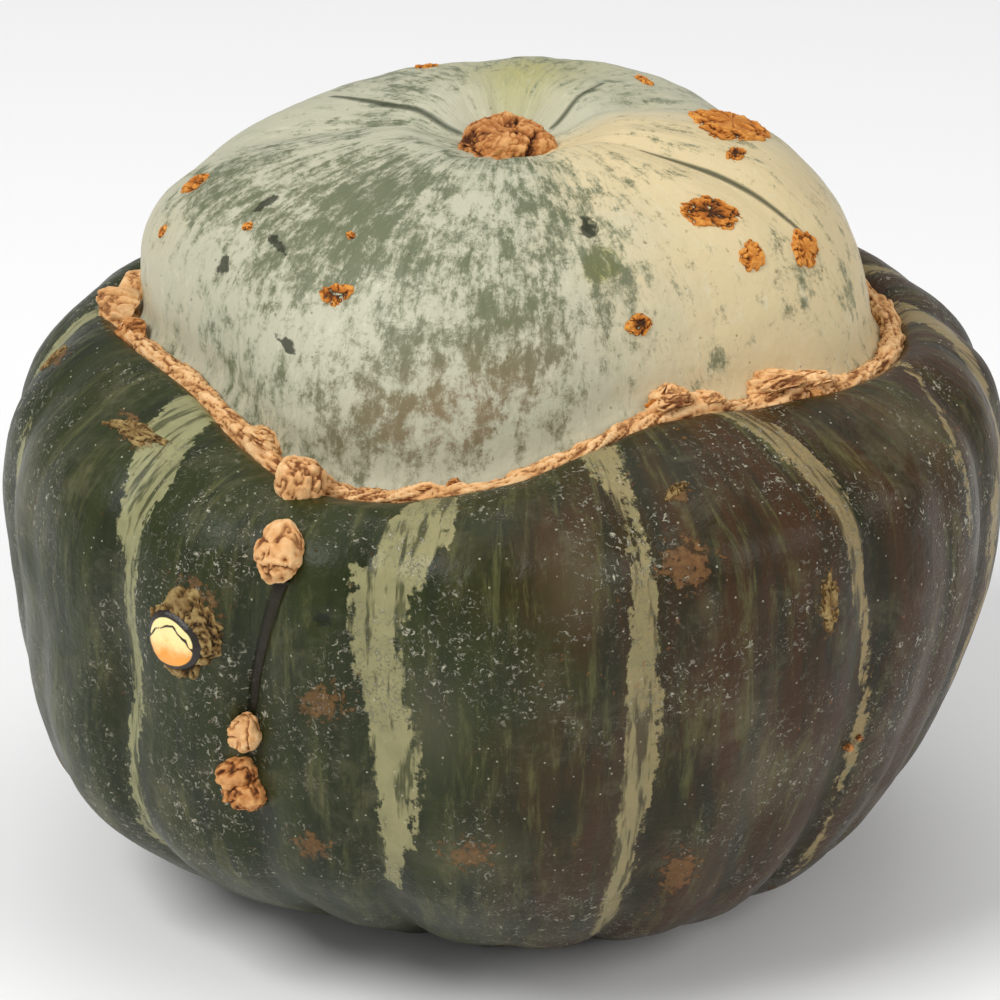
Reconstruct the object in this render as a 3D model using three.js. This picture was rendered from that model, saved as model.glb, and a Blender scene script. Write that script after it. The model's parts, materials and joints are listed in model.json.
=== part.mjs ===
/**
 * Buttercup squash, standing on its stem end with the turban-shaped button on top.
 *
 * Units are millimetres, +Z is up and the front faces -Y. The origin is on the ground, under the
 * middle of the fruit's outline. An azimuth is in degrees, 0 at the front and growing toward +X.
 *
 * The fruit is one grown body. Its skin is a meridian curve swept round the axis: the curve's
 * control points swell and sink with the azimuth, and ribs and button lobes are relief on top.
 */
import * as THREE from 'three';

// Main sizes of the fruit.
const BELLY_RADIUS = 94.5;
const BELLY_HEIGHT = 65.5;
const RING_HEIGHT = 109;
const BUTTON_RISE = 40.5;
const SHOULDER_RADIUS = 92;
const UNDERSIDE_RADIUS = 84;
const GROUND = 0;

// The grown axis stands this far from the middle of the outline.
const AXIS_X = 0;
const AXIS_Y = 0;

// The cork ring round the button: azimuth, radius, and height over RING_HEIGHT.
const RING_COURSE = [
  [-140, 66, 0],
  [-100, 73, 0],
  [-60, 65, 1],
  [-25, 70, -6],
  [-5, 67, -4],
  [25, 59, 3],
  [45, 61, 2],
  [65, 70, 1],
  [100, 73, -2],
  [140, 68, 2],
  [180, 67, 2],
];
const RING_RIDGE = { height: 2, halfWidth: 2.5 };

// Grooves between the ribs of the body: azimuth and depth.
const BODY_GROOVES = [
  [-176, 2.5],
  [-160, 4],
  [-143, 2.5],
  [-126, 4],
  [-108, 2.2],
  [-93, 3.5],
  [-78, 3],
  [-66, 1.5],
  [-48.5, 4.2],
  [-38, 0.6],
  [-29.5, 4],
  [-15, 4],
  [1, 1],
  [16.5, 4],
  [31, 2],
  [45, 4.2],
  [58.5, 2.2],
  [71, 3.6],
  [84, 2.4],
  [98, 3.6],
  [112, 2.4],
  [127, 4],
  [142, 2.5],
  [157, 4],
  [170, 2],
];
const GROOVE_WIDTH = 4.2;
const GROOVE_ROUNDING = 1.2;
const RIB_RISE = 1.7;

// Valleys between the lobes of the button: azimuth, depth and width.
const BUTTON_VALLEYS = [
  [27, 1.6, 14],
  [67, 2.1, 5],
  [122, 4.8, 13],
  [-107, 4.5, 12],
  [-175, 1.6, 14],
];
const VALLEY_ROUNDING = 3;

// Swellings of the outline: lobes round the axis, size, and azimuth of the fullest side.
const UNDERSIDE_SWELL = [
  [1, 3, -40],
  [2, 3, -50],
];
const SHOULDER_LEAN = [[1, 4, 30]];
const BUTTON_SWELL = [[1, 3, -140]];
const BUTTON_LEAN = [[1, 2, 135]];

// The side of the base that hung clear of the ground while the fruit grew.
const BASE_LIFT = { height: 6, azimuth: -25, width: 45 };

// The corky blossom scar in the dimple of the button, and the stub of stem under the base.
const BLOSSOM_SCAR = { radius: 9, edge: 2.2, height: 5 };
const STEM = { seat: 11.7, length: 9, radius: 8.4, tipRadius: 6.6, ridges: 5, ridgeDepth: 0.7, bevel: 0.8 };

// Fineness of the meshes.
const COLUMNS = 96;
const ROW_STEP = 12.5;
const BASE_ROW_STEP = 5.5;
const RING_ROW_STEP = 2.8;
const STEM_COLUMNS = 30;

// Control point of the meridian that lies in the crease under the cork ring.
const CREASE = 13;
// Control points of the meridian where relief begins and ends.
const CAVITY_EDGE = 1;
const BASE_EDGE = 4;
const UNDERSIDE_TOP = 7;
const SHOULDER_TOP = 10;
const BUTTON_FOOT = CREASE + 2;
const BUTTON_SHOULDER = CREASE + 5;

const SKIN = new THREE.MeshStandardMaterial({ color: 0x3b4630, roughness: 0.45, metalness: 0 });
const CORK = new THREE.MeshStandardMaterial({ color: 0xb08a62, roughness: 0.9, metalness: 0 });

/** Azimuth difference in degrees, brought into -180 to 180. */
function turn(degrees) {
  return THREE.MathUtils.euclideanModulo(degrees + 180, 360) - 180;
}

/** Sum of the swellings of a list at an azimuth. */
function swell(list, azimuth) {
  return list.reduce((sum, [lobes, size, fullest]) => {
    const angle = THREE.MathUtils.degToRad(lobes * (azimuth - fullest));
    return sum + size * Math.cos(angle);
  }, 0);
}

/** Smooth curve round the axis through one column of the ring's course. */
function aroundRing(azimuth, column) {
  const count = RING_COURSE.length;
  const at = (i) => {
    const lap = Math.floor(i / count);
    const entry = RING_COURSE[i - lap * count];
    return { angle: entry[0] + lap * 360, value: entry[column] };
  };
  let i = 0;
  while (at(i + 1).angle <= azimuth) i += 1;
  while (at(i).angle > azimuth) i -= 1;
  const slope = (k) => {
    const before = at(k - 1);
    const here = at(k);
    const after = at(k + 1);
    const back = here.angle - before.angle;
    const ahead = after.angle - here.angle;
    const rise = ((after.value - here.value) * back) / ahead + ((here.value - before.value) * ahead) / back;
    return rise / (back + ahead);
  };
  const span = at(i + 1).angle - at(i).angle;
  const u = (azimuth - at(i).angle) / span;
  return hermite(u, span, at(i).value, at(i + 1).value, slope(i), slope(i + 1));
}

/** Cubic through two values with given slopes; u runs from 0 to 1 over the span. */
function hermite(u, span, start, end, startSlope, endSlope) {
  const rise = u * u * (3 - 2 * u);
  const startPart = u * (1 - u) * (1 - u) * span * startSlope;
  const endPart = u * u * (u - 1) * span * endSlope;
  return start + (end - start) * rise + startPart + endPart;
}

/** Control points of the meridian at an azimuth, from the stem cavity up to the blossom scar. */
function meridian(azimuth) {
  const ring = aroundRing(azimuth, 1);
  const ringRise = aroundRing(azimuth, 2);
  const ringTop = RING_HEIGHT + ringRise;
  const crest = RING_HEIGHT + BUTTON_RISE;
  const under = swell(UNDERSIDE_SWELL, azimuth) - 3.4;
  const shoulder = SHOULDER_RADIUS;
  const lean = swell(SHOULDER_LEAN, azimuth);
  const button = swell(BUTTON_SWELL, azimuth) - 0.9;
  const buttonLean = swell(BUTTON_LEAN, azimuth);
  const lift = BASE_LIFT.height * Math.exp(-((turn(azimuth - BASE_LIFT.azimuth) / BASE_LIFT.width) ** 2));
  const shoulderTop = BELLY_HEIGHT + 31 + lean;
  return [
    [0, 12],
    [12, 11.9],
    [23, 5.5],
    [40, -1],
    [57 + 0.5 * under, 2.5 + 0.8 * lift],
    [74 + 0.8 * under, 12 + 0.1 * lean + lift],
    [UNDERSIDE_RADIUS + 3.4 + under, 28 + 0.3 * lean + 0.6 * lift],
    [BELLY_RADIUS - 1.4 + 0.6 * under, BELLY_HEIGHT - 19 + 0.6 * lean],
    [BELLY_RADIUS, BELLY_HEIGHT + 0.8 * lean],
    [0.5 * (BELLY_RADIUS + shoulder) + 2.1, BELLY_HEIGHT + 17 + lean],
    [shoulder, shoulderTop],
    [0.5 * (shoulder + ring) + 1.5, 0.5 * (shoulderTop + ringTop) + 3.6],
    [ring + 4.5, ringTop + 0.6],
    [ring, ringTop - 2.2],
    [ring - 3.2, ringTop + 1.5],
    [ring - 3.6 + 0.4 * button, ringTop + 8.5],
    [ring - 5 + 0.8 * button, ringTop + 17 + 0.3 * buttonLean],
    [ring - 9.5 + button, ringTop + 26 + 0.7 * buttonLean],
    [ring - 20 + button, crest - 6 + 0.35 * ringRise + buttonLean],
    [0.47 * ring + 0.5 * button, crest - 1 + 0.1 * ringRise + 0.8 * buttonLean],
    [0.285 * ring, crest + 0.4 * buttonLean],
    [11.5, crest - 3.4],
    [0, crest - 6],
  ];
}

/** Distance along the meridian of each control point, on the mean of all azimuths. */
function meridianKnots() {
  const samples = 36;
  const mean = meridian(0).map(() => new THREE.Vector2());
  for (let i = 0; i < samples; i += 1) {
    meridian((i * 360) / samples - 180).forEach(([radius, height], k) => {
      mean[k].add(new THREE.Vector2(radius, height).divideScalar(samples));
    });
  }
  const knots = [0];
  for (let k = 1; k < mean.length; k += 1) {
    knots.push(knots[k - 1] + mean[k].distanceTo(mean[k - 1]));
  }
  return knots;
}

const KNOTS = meridianKnots();
const LAST = KNOTS.length - 1;

/** Smooth curve through one coordinate of the control points. */
function alongMeridian(points, coordinate, distance) {
  const value = (k) => points[k][coordinate];
  const slope = (k) => {
    if (k > 0 && k < LAST) return (value(k + 1) - value(k - 1)) / (KNOTS[k + 1] - KNOTS[k - 1]);
    if (coordinate === 1) return 0;
    return k === 0 ? value(1) / KNOTS[1] : -value(LAST - 1) / (KNOTS[LAST] - KNOTS[LAST - 1]);
  };
  let k = 0;
  while (k < LAST - 1 && KNOTS[k + 1] <= distance) k += 1;
  const span = KNOTS[k + 1] - KNOTS[k];
  const u = (distance - KNOTS[k]) / span;
  return hermite(u, span, value(k), value(k + 1), slope(k), slope(k + 1));
}

/** Smooth step from 0 at one knot to 1 at another. */
function between(distance, from, to) {
  return THREE.MathUtils.smoothstep(distance, KNOTS[from], KNOTS[to]);
}

/** Depth of a rounded groove at an azimuth away from its bottom. */
function groove(away, depth, width, rounding) {
  const distance = Math.hypot(turn(away), rounding) - rounding;
  return depth * Math.exp(-distance / width);
}

/** Height of ribs, button lobes, cork ring and blossom scar over the plain skin. */
function relief(azimuth, distance) {
  const ribs = BODY_GROOVES.reduce(
    (sum, [at, depth]) => sum - groove(azimuth - at, depth, GROOVE_WIDTH, GROOVE_ROUNDING),
    RIB_RISE,
  );
  const shallowShoulder = 1 - 0.85 * between(distance, SHOULDER_TOP, CREASE - 1);
  const body = between(distance, CAVITY_EDGE, BASE_EDGE) * shallowShoulder * (1 - between(distance, CREASE - 1, CREASE));
  const fullness = 0.75 + 0.25 * between(distance, BASE_EDGE, UNDERSIDE_TOP);
  const valleys = BUTTON_VALLEYS.reduce(
    (sum, [at, depth, width]) => sum + groove(azimuth - at, depth, width, VALLEY_ROUNDING),
    0,
  );
  const button = between(distance, BUTTON_FOOT, BUTTON_SHOULDER) * (1 - between(distance, LAST - 3, LAST));
  const ridge = RING_RIDGE.height * Math.exp(-(((distance - KNOTS[CREASE]) / RING_RIDGE.halfWidth) ** 2));
  const scarEdge = KNOTS[LAST] - BLOSSOM_SCAR.radius;
  const scar = BLOSSOM_SCAR.height * THREE.MathUtils.smoothstep(distance, scarEdge - BLOSSOM_SCAR.edge, scarEdge);
  return body * fullness * ribs - button * valleys + ridge + scar;
}

/** Point of the fruit's skin at an azimuth and a distance along the meridian. */
function skinPoint(azimuth, distance) {
  const points = meridian(azimuth);
  const step = 0.01;
  const before = Math.max(distance - step, 0);
  const after = Math.min(distance + step, KNOTS[LAST]);
  const tangent = new THREE.Vector2(
    alongMeridian(points, 0, after) - alongMeridian(points, 0, before),
    alongMeridian(points, 1, after) - alongMeridian(points, 1, before),
  ).normalize();
  const rise = relief(azimuth, distance);
  const radius = Math.max(alongMeridian(points, 0, distance) + tangent.y * rise, 0);
  const height = Math.max(alongMeridian(points, 1, distance) - tangent.x * rise, GROUND);
  const angle = THREE.MathUtils.degToRad(azimuth);
  return new THREE.Vector3(radius * Math.sin(angle) + AXIS_X, -radius * Math.cos(angle) + AXIS_Y, height);
}

/** Closed mesh over rows of points between a bottom pole and a top pole. */
function closedBody(bottom, rows, top) {
  const columns = rows[0].length;
  const points = [bottom, ...rows.flat(), top];
  const topIndex = points.length - 1;
  const index = [];
  for (let i = 0; i < columns; i += 1) {
    const next = (i + 1) % columns;
    const lastRow = 1 + (rows.length - 1) * columns;
    index.push(0, 1 + next, 1 + i);
    index.push(topIndex, lastRow + i, lastRow + next);
    for (let j = 0; j < rows.length - 1; j += 1) {
      const low = 1 + j * columns;
      const high = low + columns;
      index.push(low + i, low + next, high + next);
      index.push(low + i, high + next, high + i);
    }
  }
  const geometry = new THREE.BufferGeometry().setFromPoints(points);
  geometry.setIndex(index);
  geometry.computeVertexNormals();
  return geometry;
}

/** Most that two rows of the skin may be apart after a control point of the meridian. */
function rowStep(k) {
  if (k === CREASE - 1 || k === CREASE || k === LAST - 1) return RING_ROW_STEP;
  if (k === BASE_EDGE - 2 || k === BASE_EDGE - 1) return BASE_ROW_STEP;
  return ROW_STEP;
}

/** Distances along the meridian of the rows of the skin, without the two poles. */
function rowDistances() {
  const distances = [];
  for (let k = 0; k < LAST; k += 1) {
    const steps = Math.ceil((KNOTS[k + 1] - KNOTS[k]) / rowStep(k));
    for (let i = 0; i < steps; i += 1) {
      distances.push(THREE.MathUtils.lerp(KNOTS[k], KNOTS[k + 1], i / steps));
    }
  }
  return distances.slice(1);
}

/** The whole fruit: ribbed body, button, cork ring and blossom scar in one solid. */
function makeFruit() {
  const azimuths = Array.from({ length: COLUMNS }, (_, i) => (i * 360) / COLUMNS - 180);
  const rows = rowDistances().map((distance) => azimuths.map((azimuth) => skinPoint(azimuth, distance)));
  const fruit = new THREE.Mesh(closedBody(skinPoint(0, 0), rows, skinPoint(0, KNOTS[LAST])), SKIN);
  fruit.name = 'squash_fruit';
  return fruit;
}

/** The corky stub of stem left in the cavity under the base. */
function makeStem() {
  const levels = [
    [STEM.tipRadius - STEM.bevel, STEM.seat - STEM.length],
    [STEM.tipRadius, STEM.seat - STEM.length + STEM.bevel],
    [STEM.tipRadius + 0.3, STEM.seat - 0.5 * STEM.length],
    [STEM.radius, STEM.seat - STEM.bevel],
    [STEM.radius - STEM.bevel, STEM.seat],
  ];
  const rows = levels.map(([radius, height]) =>
    Array.from({ length: STEM_COLUMNS }, (_, i) => {
      const angle = (i / STEM_COLUMNS) * 2 * Math.PI;
      const ridged = radius + STEM.ridgeDepth * Math.cos(STEM.ridges * angle);
      return new THREE.Vector3(ridged * Math.sin(angle), -ridged * Math.cos(angle), height);
    }),
  );
  const tip = new THREE.Vector3(0, 0, STEM.seat - STEM.length);
  const seat = new THREE.Vector3(0, 0, STEM.seat);
  const stem = new THREE.Mesh(closedBody(tip, rows, seat), CORK);
  stem.name = 'stem_stub';
  stem.position.set(AXIS_X, AXIS_Y, 0);
  return stem;
}

const squash = new THREE.Group();
squash.add(makeFruit());
squash.add(makeStem());

export default squash;
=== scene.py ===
"""Buttercup squash standing on its stem end, with the turban-shaped button on top.

Sizes are in millimetres inside the forms and in metres on the finished meshes. +Z is up and the front
faces -Y. An azimuth is in degrees, 0 at the front and growing toward +X. A distance is measured along
the fruit's meridian, from the stem cavity up to the blossom scar.
"""

import json
import logging
import math
from dataclasses import dataclass, field
from enum import Enum

import bpy
import numpy as np
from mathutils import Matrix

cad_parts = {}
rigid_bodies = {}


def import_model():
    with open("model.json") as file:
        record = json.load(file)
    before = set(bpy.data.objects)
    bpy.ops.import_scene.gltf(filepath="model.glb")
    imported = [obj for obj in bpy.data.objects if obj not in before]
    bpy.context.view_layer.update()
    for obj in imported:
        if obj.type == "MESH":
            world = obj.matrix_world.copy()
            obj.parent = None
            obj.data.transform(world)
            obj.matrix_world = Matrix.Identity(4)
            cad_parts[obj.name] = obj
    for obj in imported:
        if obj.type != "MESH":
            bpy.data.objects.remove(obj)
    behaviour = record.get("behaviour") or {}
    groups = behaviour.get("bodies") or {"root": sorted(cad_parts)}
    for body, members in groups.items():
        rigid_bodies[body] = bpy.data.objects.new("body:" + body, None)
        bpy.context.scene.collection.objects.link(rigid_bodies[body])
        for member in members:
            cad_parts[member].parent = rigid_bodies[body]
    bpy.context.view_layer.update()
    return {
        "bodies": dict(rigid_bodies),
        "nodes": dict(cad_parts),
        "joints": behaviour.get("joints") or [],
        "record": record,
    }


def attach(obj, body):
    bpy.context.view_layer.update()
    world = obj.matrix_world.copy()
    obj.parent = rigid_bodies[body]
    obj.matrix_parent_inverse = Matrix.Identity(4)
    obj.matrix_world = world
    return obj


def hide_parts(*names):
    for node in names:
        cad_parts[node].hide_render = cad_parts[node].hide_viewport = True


LOG = logging.getLogger("squash")
MM = 0.001
Array = np.ndarray
Pairs = tuple[tuple[float, ...], ...]


# --------------------------------------------------------------------------------------------------
# Arithmetic shared by the forms
# --------------------------------------------------------------------------------------------------


def wrapped(degrees: Array) -> Array:
    """Angle differences brought into -180 to 180 degrees."""
    return (degrees + 180.0) % 360.0 - 180.0


def smooth_step(value: Array, start: float, end: float) -> Array:
    """Smooth step from 0 at start to 1 at end, with a level start and end."""
    t = np.clip((value - start) / (end - start), 0.0, 1.0)
    return t * t * (3.0 - 2.0 * t)


def bell(value: Array, centre: float, width: float) -> Array:
    """Gaussian bell of height 1: exp of minus the square of (value - centre) / width."""
    return np.exp(-(((value - centre) / width) ** 2))


def hermite(u: Array, span: Array, start: Array, end: Array, start_slope: Array, end_slope: Array) -> Array:
    """Cubic through two values with given slopes.

    Args:
        u: Place in the span, 0 to 1.
        span: Length of the span.
        start: Value at 0.
        end: Value at 1.
        start_slope: Slope at 0.
        end_slope: Slope at 1.

    Returns:
        start + (end - start) u^2 (3 - 2u) + span (start_slope u (1-u)^2 - end_slope u^2 (1-u)).
    """
    rise = u * u * (3.0 - 2.0 * u)
    bend = start_slope * u * (1 - u) ** 2 - end_slope * u * u * (1 - u)
    return start + (end - start) * rise + span * bend


def lattice_noise(points: Array, seed: int) -> Array:
    """Smooth noise between 0 and 1.

    Each corner of the unit lattice gets a hashed value, and the eight round a point are blended with
    the quintic step 6t^5 - 15t^4 + 10t^3.

    Args:
        points: Places in lattice units, shape (..., 3).
        seed: Whole number that picks the pattern.

    Returns:
        Values of shape (...).
    """
    cell = np.floor(points).astype(np.int64)
    t = points - cell
    blend = t * t * t * (t * (t * 6.0 - 15.0) + 10.0)
    total = np.zeros(points.shape[:-1])
    for corner in np.ndindex(2, 2, 2):
        at = cell + np.array(corner)
        code = at[..., 0] * 73856093 ^ at[..., 1] * 19349663 ^ at[..., 2] * 83492791 ^ (seed * 2654435761)
        code = (code & 0x7FFFFFFF) * 1274126177 & 0x7FFFFFFF
        code = (code ^ (code >> 15)) * 2246822519 & 0x7FFFFFFF
        value = ((code ^ (code >> 13)) & 0xFFFFF) / float(0xFFFFF)
        share = np.where(np.array(corner) == 1, blend, 1.0 - blend).prod(axis=-1)
        total = total + value * share
    return total


def layered_noise(points: Array, seed: int, layers: int = 4) -> Array:
    """Sum of noises, each layer twice as fine and half as strong as the last, scaled to 0 to 1."""
    total = np.zeros(points.shape[:-1])
    weight = 0.0
    for layer in range(layers):
        total = total + lattice_noise(points * 2.0**layer + 17.3 * layer, seed + layer) * 0.5**layer
        weight += 0.5**layer
    return total / weight


def fold_lines(points: Array, seed: int, width: float = 0.05) -> Array:
    """Winding creases, 1 in the bottom of a fold and 0 between folds.

    The field is layered noise, bent by a second noise, and a crease runs where it crosses its mean.

    Args:
        points: Places in fold units, shape (..., 3).
        seed: Whole number that picks the pattern.
        width: Half-width of a crease in units of the noise value.

    Returns:
        Values of shape (...).
    """
    bend = layered_noise(points * 0.7 + 5.1, seed + 40, 2)[..., None] - 0.5
    value = layered_noise(points + 1.3 * bend, seed, 3)
    return np.exp(-np.abs(value - 0.5) / width)


def closed_grid_faces(rows: int, columns: int) -> Array:
    """Quads of a grid that closes on itself round the columns, as vertex numbers of shape (n, 4)."""
    low = np.arange(rows - 1)[:, None] * columns + np.arange(columns)[None, :]
    nxt = np.arange(rows - 1)[:, None] * columns + (np.arange(columns)[None, :] + 1) % columns
    return np.stack([low, nxt, nxt + columns, low + columns], axis=-1).reshape(-1, 4)


def mesh_object(
    name: str, points: Array, quads: Array, triangles: Array, data: dict[str, Array]
) -> bpy.types.Object:
    """Makes a smooth-shaded mesh object with its normals outward.

    Args:
        name: Name of the piece.
        points: Vertices in millimetres, shape (n, 3).
        quads: Four-cornered faces, shape (m, 4).
        triangles: Three-cornered faces, shape (k, 3).
        data: Values per vertex for the materials, numbers or vectors by attribute name.

    Returns:
        The linked object, at the origin and unscaled.
    """
    mesh = bpy.data.meshes.new(name)
    corners = np.concatenate([quads.ravel(), triangles.ravel()]).astype(np.int32)
    starts = np.concatenate(
        [np.arange(len(quads)) * 4, len(quads) * 4 + np.arange(len(triangles)) * 3]
    ).astype(np.int32)
    mesh.vertices.add(len(points))
    mesh.vertices.foreach_set("co", (points * MM).astype(np.float32).ravel())
    mesh.loops.add(len(corners))
    mesh.loops.foreach_set("vertex_index", corners)
    mesh.polygons.add(len(starts))
    mesh.polygons.foreach_set("loop_start", starts)
    mesh.update(calc_edges=True)
    mesh.polygons.foreach_set("use_smooth", np.ones(len(starts), dtype=bool))
    for key, values in data.items():
        kind = "FLOAT_VECTOR" if values.ndim == 2 else "FLOAT"
        layer = mesh.attributes.new(key, kind, "POINT")
        layer.data.foreach_set("vector" if values.ndim == 2 else "value", values.astype(np.float32).ravel())
    mesh.validate()
    made = bpy.data.objects.new(name, mesh)
    bpy.context.scene.collection.objects.link(made)
    return made


def capped_body(
    name: str, bottom: Array, rows: Array, top: Array, data: dict[str, Array]
) -> bpy.types.Object:
    """Closed body over rows of points between a bottom pole and a top pole.

    Args:
        name: Name of the piece.
        bottom: Lowest point, shape (3,).
        rows: Points of shape (rows, columns, 3), anticlockwise seen from the top pole.
        top: Highest point, shape (3,).
        data: Attribute values of shape (rows * columns + 2, ...), poles first and last.

    Returns:
        The linked object.
    """
    count, columns = rows.shape[:2]
    points = np.concatenate([bottom[None], rows.reshape(-1, 3), top[None]])
    ring = np.arange(columns)
    after = (ring + 1) % columns
    last = 1 + (count - 1) * columns
    low_fan = np.stack([np.zeros(columns, int), 1 + after, 1 + ring], axis=-1)
    high_fan = np.stack([np.full(columns, len(points) - 1), last + ring, last + after], axis=-1)
    quads = 1 + closed_grid_faces(count, columns)
    return mesh_object(name, points, quads, np.concatenate([low_fan, high_fan]), data)


def polar_grid(rows: int, columns: int) -> tuple[Array, Array]:
    """Polar angles, pi at the lowest row, and turns of a lump's grid, each (rows, columns)."""
    tilt = math.pi * (1 - (np.arange(rows) + 1) / (rows + 1))[:, None]
    turn = (np.arange(columns) * 2 * math.pi / columns)[None, :]
    return np.broadcast_arrays(tilt, turn)


def rising_grid(rows: int, columns: int) -> tuple[Array, Array]:
    """Shares of the length between two poles, (rows, 1), and turns, (1, columns)."""
    share = ((np.arange(rows) + 1) / (rows + 1))[:, None]
    return share, (np.arange(columns) * 2 * math.pi / columns)[None, :]


def with_poles(first: Array, rows: Array, last: Array) -> Array:
    """Attribute values of a capped body in vertex order: first pole, rows, last pole."""
    tail = rows.shape[2:]
    ends = np.reshape(first, (1, *tail)), np.reshape(last, (1, *tail))
    return np.concatenate([ends[0], rows.reshape(-1, *tail), ends[1]])


# --------------------------------------------------------------------------------------------------
# The form of the fruit
# --------------------------------------------------------------------------------------------------

RING_COURSE: Pairs = (
    (-140, 66, 0),
    (-100, 73, 0),
    (-60, 65, 1),
    (-25, 70, -6),
    (-5, 67, -4),
    (25, 59, 3),
    (45, 61, 2),
    (65, 70, 1),
    (100, 73, -2),
    (140, 68, 2),
    (180, 67, 2),
)
BODY_GROOVES: Pairs = (
    (-176, 2.5),
    (-160, 4),
    (-143, 2.5),
    (-126, 4),
    (-108, 2.2),
    (-93, 3.5),
    (-78, 3),
    (-66, 1.5),
    (-48.5, 4.2),
    (-38, 0.6),
    (-29.5, 4),
    (-15, 4),
    (1, 1),
    (16.5, 4),
    (31, 2),
    (45, 4.2),
    (58.5, 2.2),
    (71, 3.6),
    (84, 2.4),
    (98, 3.6),
    (112, 2.4),
    (127, 4),
    (142, 2.5),
    (157, 4),
    (170, 2),
)
BUTTON_VALLEYS: Pairs = (
    (27, 1.6, 14),
    (67, 2.1, 5),
    (122, 4.8, 13),
    (-107, 4.5, 12),
    (-175, 1.6, 14),
)


@dataclass
class FruitForm:
    """The skin as a meridian curve swept round the axis, the same curve as the solid's."""

    belly_radius: float = 94.5
    belly_height: float = 65.5
    ring_height: float = 109.0
    button_rise: float = 40.5
    shoulder_radius: float = 92.0
    underside_radius: float = 84.0
    axis: tuple[float, float] = (0.0, 0.0)
    groove_width: float = 4.2
    groove_rounding: float = 1.2
    rib_rise: float = 1.7
    underside_offset: float = 3.4
    button_offset: float = 0.9
    valley_rounding: float = 3.0
    underside_swell: Pairs = ((1, 3, -40), (2, 3, -50))
    shoulder_lean: Pairs = ((1, 4, 30),)
    button_swell: Pairs = ((1, 3, -140),)
    button_lean: Pairs = ((1, 2, 135),)
    base_lift: tuple[float, float, float] = (6.0, -25.0, 45.0)
    crease: int = 13
    knots: Array = field(init=False)

    def __post_init__(self) -> None:
        """Works out the distance of each control point on the mean of all azimuths."""
        radius, height = self.control(np.arange(-180.0, 180.0, 10.0))
        steps = np.hypot(np.diff(radius.mean(axis=1)), np.diff(height.mean(axis=1)))
        self.knots = np.concatenate([[0.0], np.cumsum(steps)])

    @property
    def ring_distance(self) -> float:
        """Distance along the meridian of the crease under the cork ring."""
        return float(self.knots[self.crease])

    @staticmethod
    def swell(terms: Pairs, azimuth: Array) -> Array:
        """Sum of size * cos(lobes * (azimuth - fullest side)) over the terms."""
        return sum(size * np.cos(np.radians(lobes * (azimuth - fullest))) for lobes, size, fullest in terms)

    @staticmethod
    def around_ring(azimuth: Array, column: int) -> Array:
        """Smooth closed curve through one column of the ring's course.

        Args:
            azimuth: Angles in degrees, any shape.
            column: 1 for the radius, 2 for the height over the ring's mean.

        Returns:
            Millimetres, in the shape of azimuth.
        """
        table = np.array(RING_COURSE)
        angle = np.concatenate([table[:, 0] - 360.0, table[:, 0], table[:, 0] + 360.0])
        value = np.tile(table[:, column], 3)
        slope = np.gradient(value, angle)
        k = np.searchsorted(angle, azimuth, side="right") - 1
        span = angle[k + 1] - angle[k]
        u = (azimuth - angle[k]) / span
        return hermite(u, span, value[k], value[k + 1], slope[k], slope[k + 1])

    def control(self, azimuth: Array) -> tuple[Array, Array]:
        """Control points of the meridian.

        Args:
            azimuth: Angles in degrees, shape (n,).

        Returns:
            Radii and heights, each of shape (points, n), from the stem cavity to the blossom scar.
        """
        ring = self.around_ring(azimuth, 1)
        ring_rise = self.around_ring(azimuth, 2)
        ring_top = self.ring_height + ring_rise
        crest = self.ring_height + self.button_rise
        under = self.swell(self.underside_swell, azimuth) - self.underside_offset
        shoulder = self.shoulder_radius
        lean = self.swell(self.shoulder_lean, azimuth)
        button = self.swell(self.button_swell, azimuth) - self.button_offset
        button_lean = self.swell(self.button_lean, azimuth)
        height, side, width = self.base_lift
        lift = height * bell(wrapped(azimuth - side), 0.0, width)
        shoulder_top = self.belly_height + 31.0 + lean
        middle = self.belly_height
        rows = (
            (0.0, 12.0),
            (12.0, 11.9),
            (23.0, 5.5),
            (40.0, -1.0),
            (57 + 0.5 * under, 2.5 + 0.8 * lift),
            (74 + 0.8 * under, 12 + 0.1 * lean + lift),
            (self.underside_radius + self.underside_offset + under, 28 + 0.3 * lean + 0.6 * lift),
            (self.belly_radius - 1.4 + 0.6 * under, middle - 19 + 0.6 * lean),
            (self.belly_radius, middle + 0.8 * lean),
            (0.5 * (self.belly_radius + shoulder) + 2.1, middle + 17 + lean),
            (shoulder, shoulder_top),
            (0.5 * (shoulder + ring) + 1.5, 0.5 * (shoulder_top + ring_top) + 3.6),
            (ring + 4.5, ring_top + 0.6),
            (ring, ring_top - 2.2),
            (ring - 3.2, ring_top + 1.5),
            (ring - 3.6 + 0.4 * button, ring_top + 8.5),
            (ring - 5 + 0.8 * button, ring_top + 17 + 0.3 * button_lean),
            (ring - 9.5 + button, ring_top + 26 + 0.7 * button_lean),
            (ring - 20 + button, crest - 6 + 0.35 * ring_rise + button_lean),
            (0.47 * ring + 0.5 * button, crest - 1 + 0.1 * ring_rise + 0.8 * button_lean),
            (0.285 * ring, crest + 0.4 * button_lean),
            (11.5, crest - 3.4),
            (0.0, crest - 6.0),
        )
        one = np.ones_like(azimuth, dtype=float)
        return np.stack([row[0] * one for row in rows]), np.stack([row[1] * one for row in rows])

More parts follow.
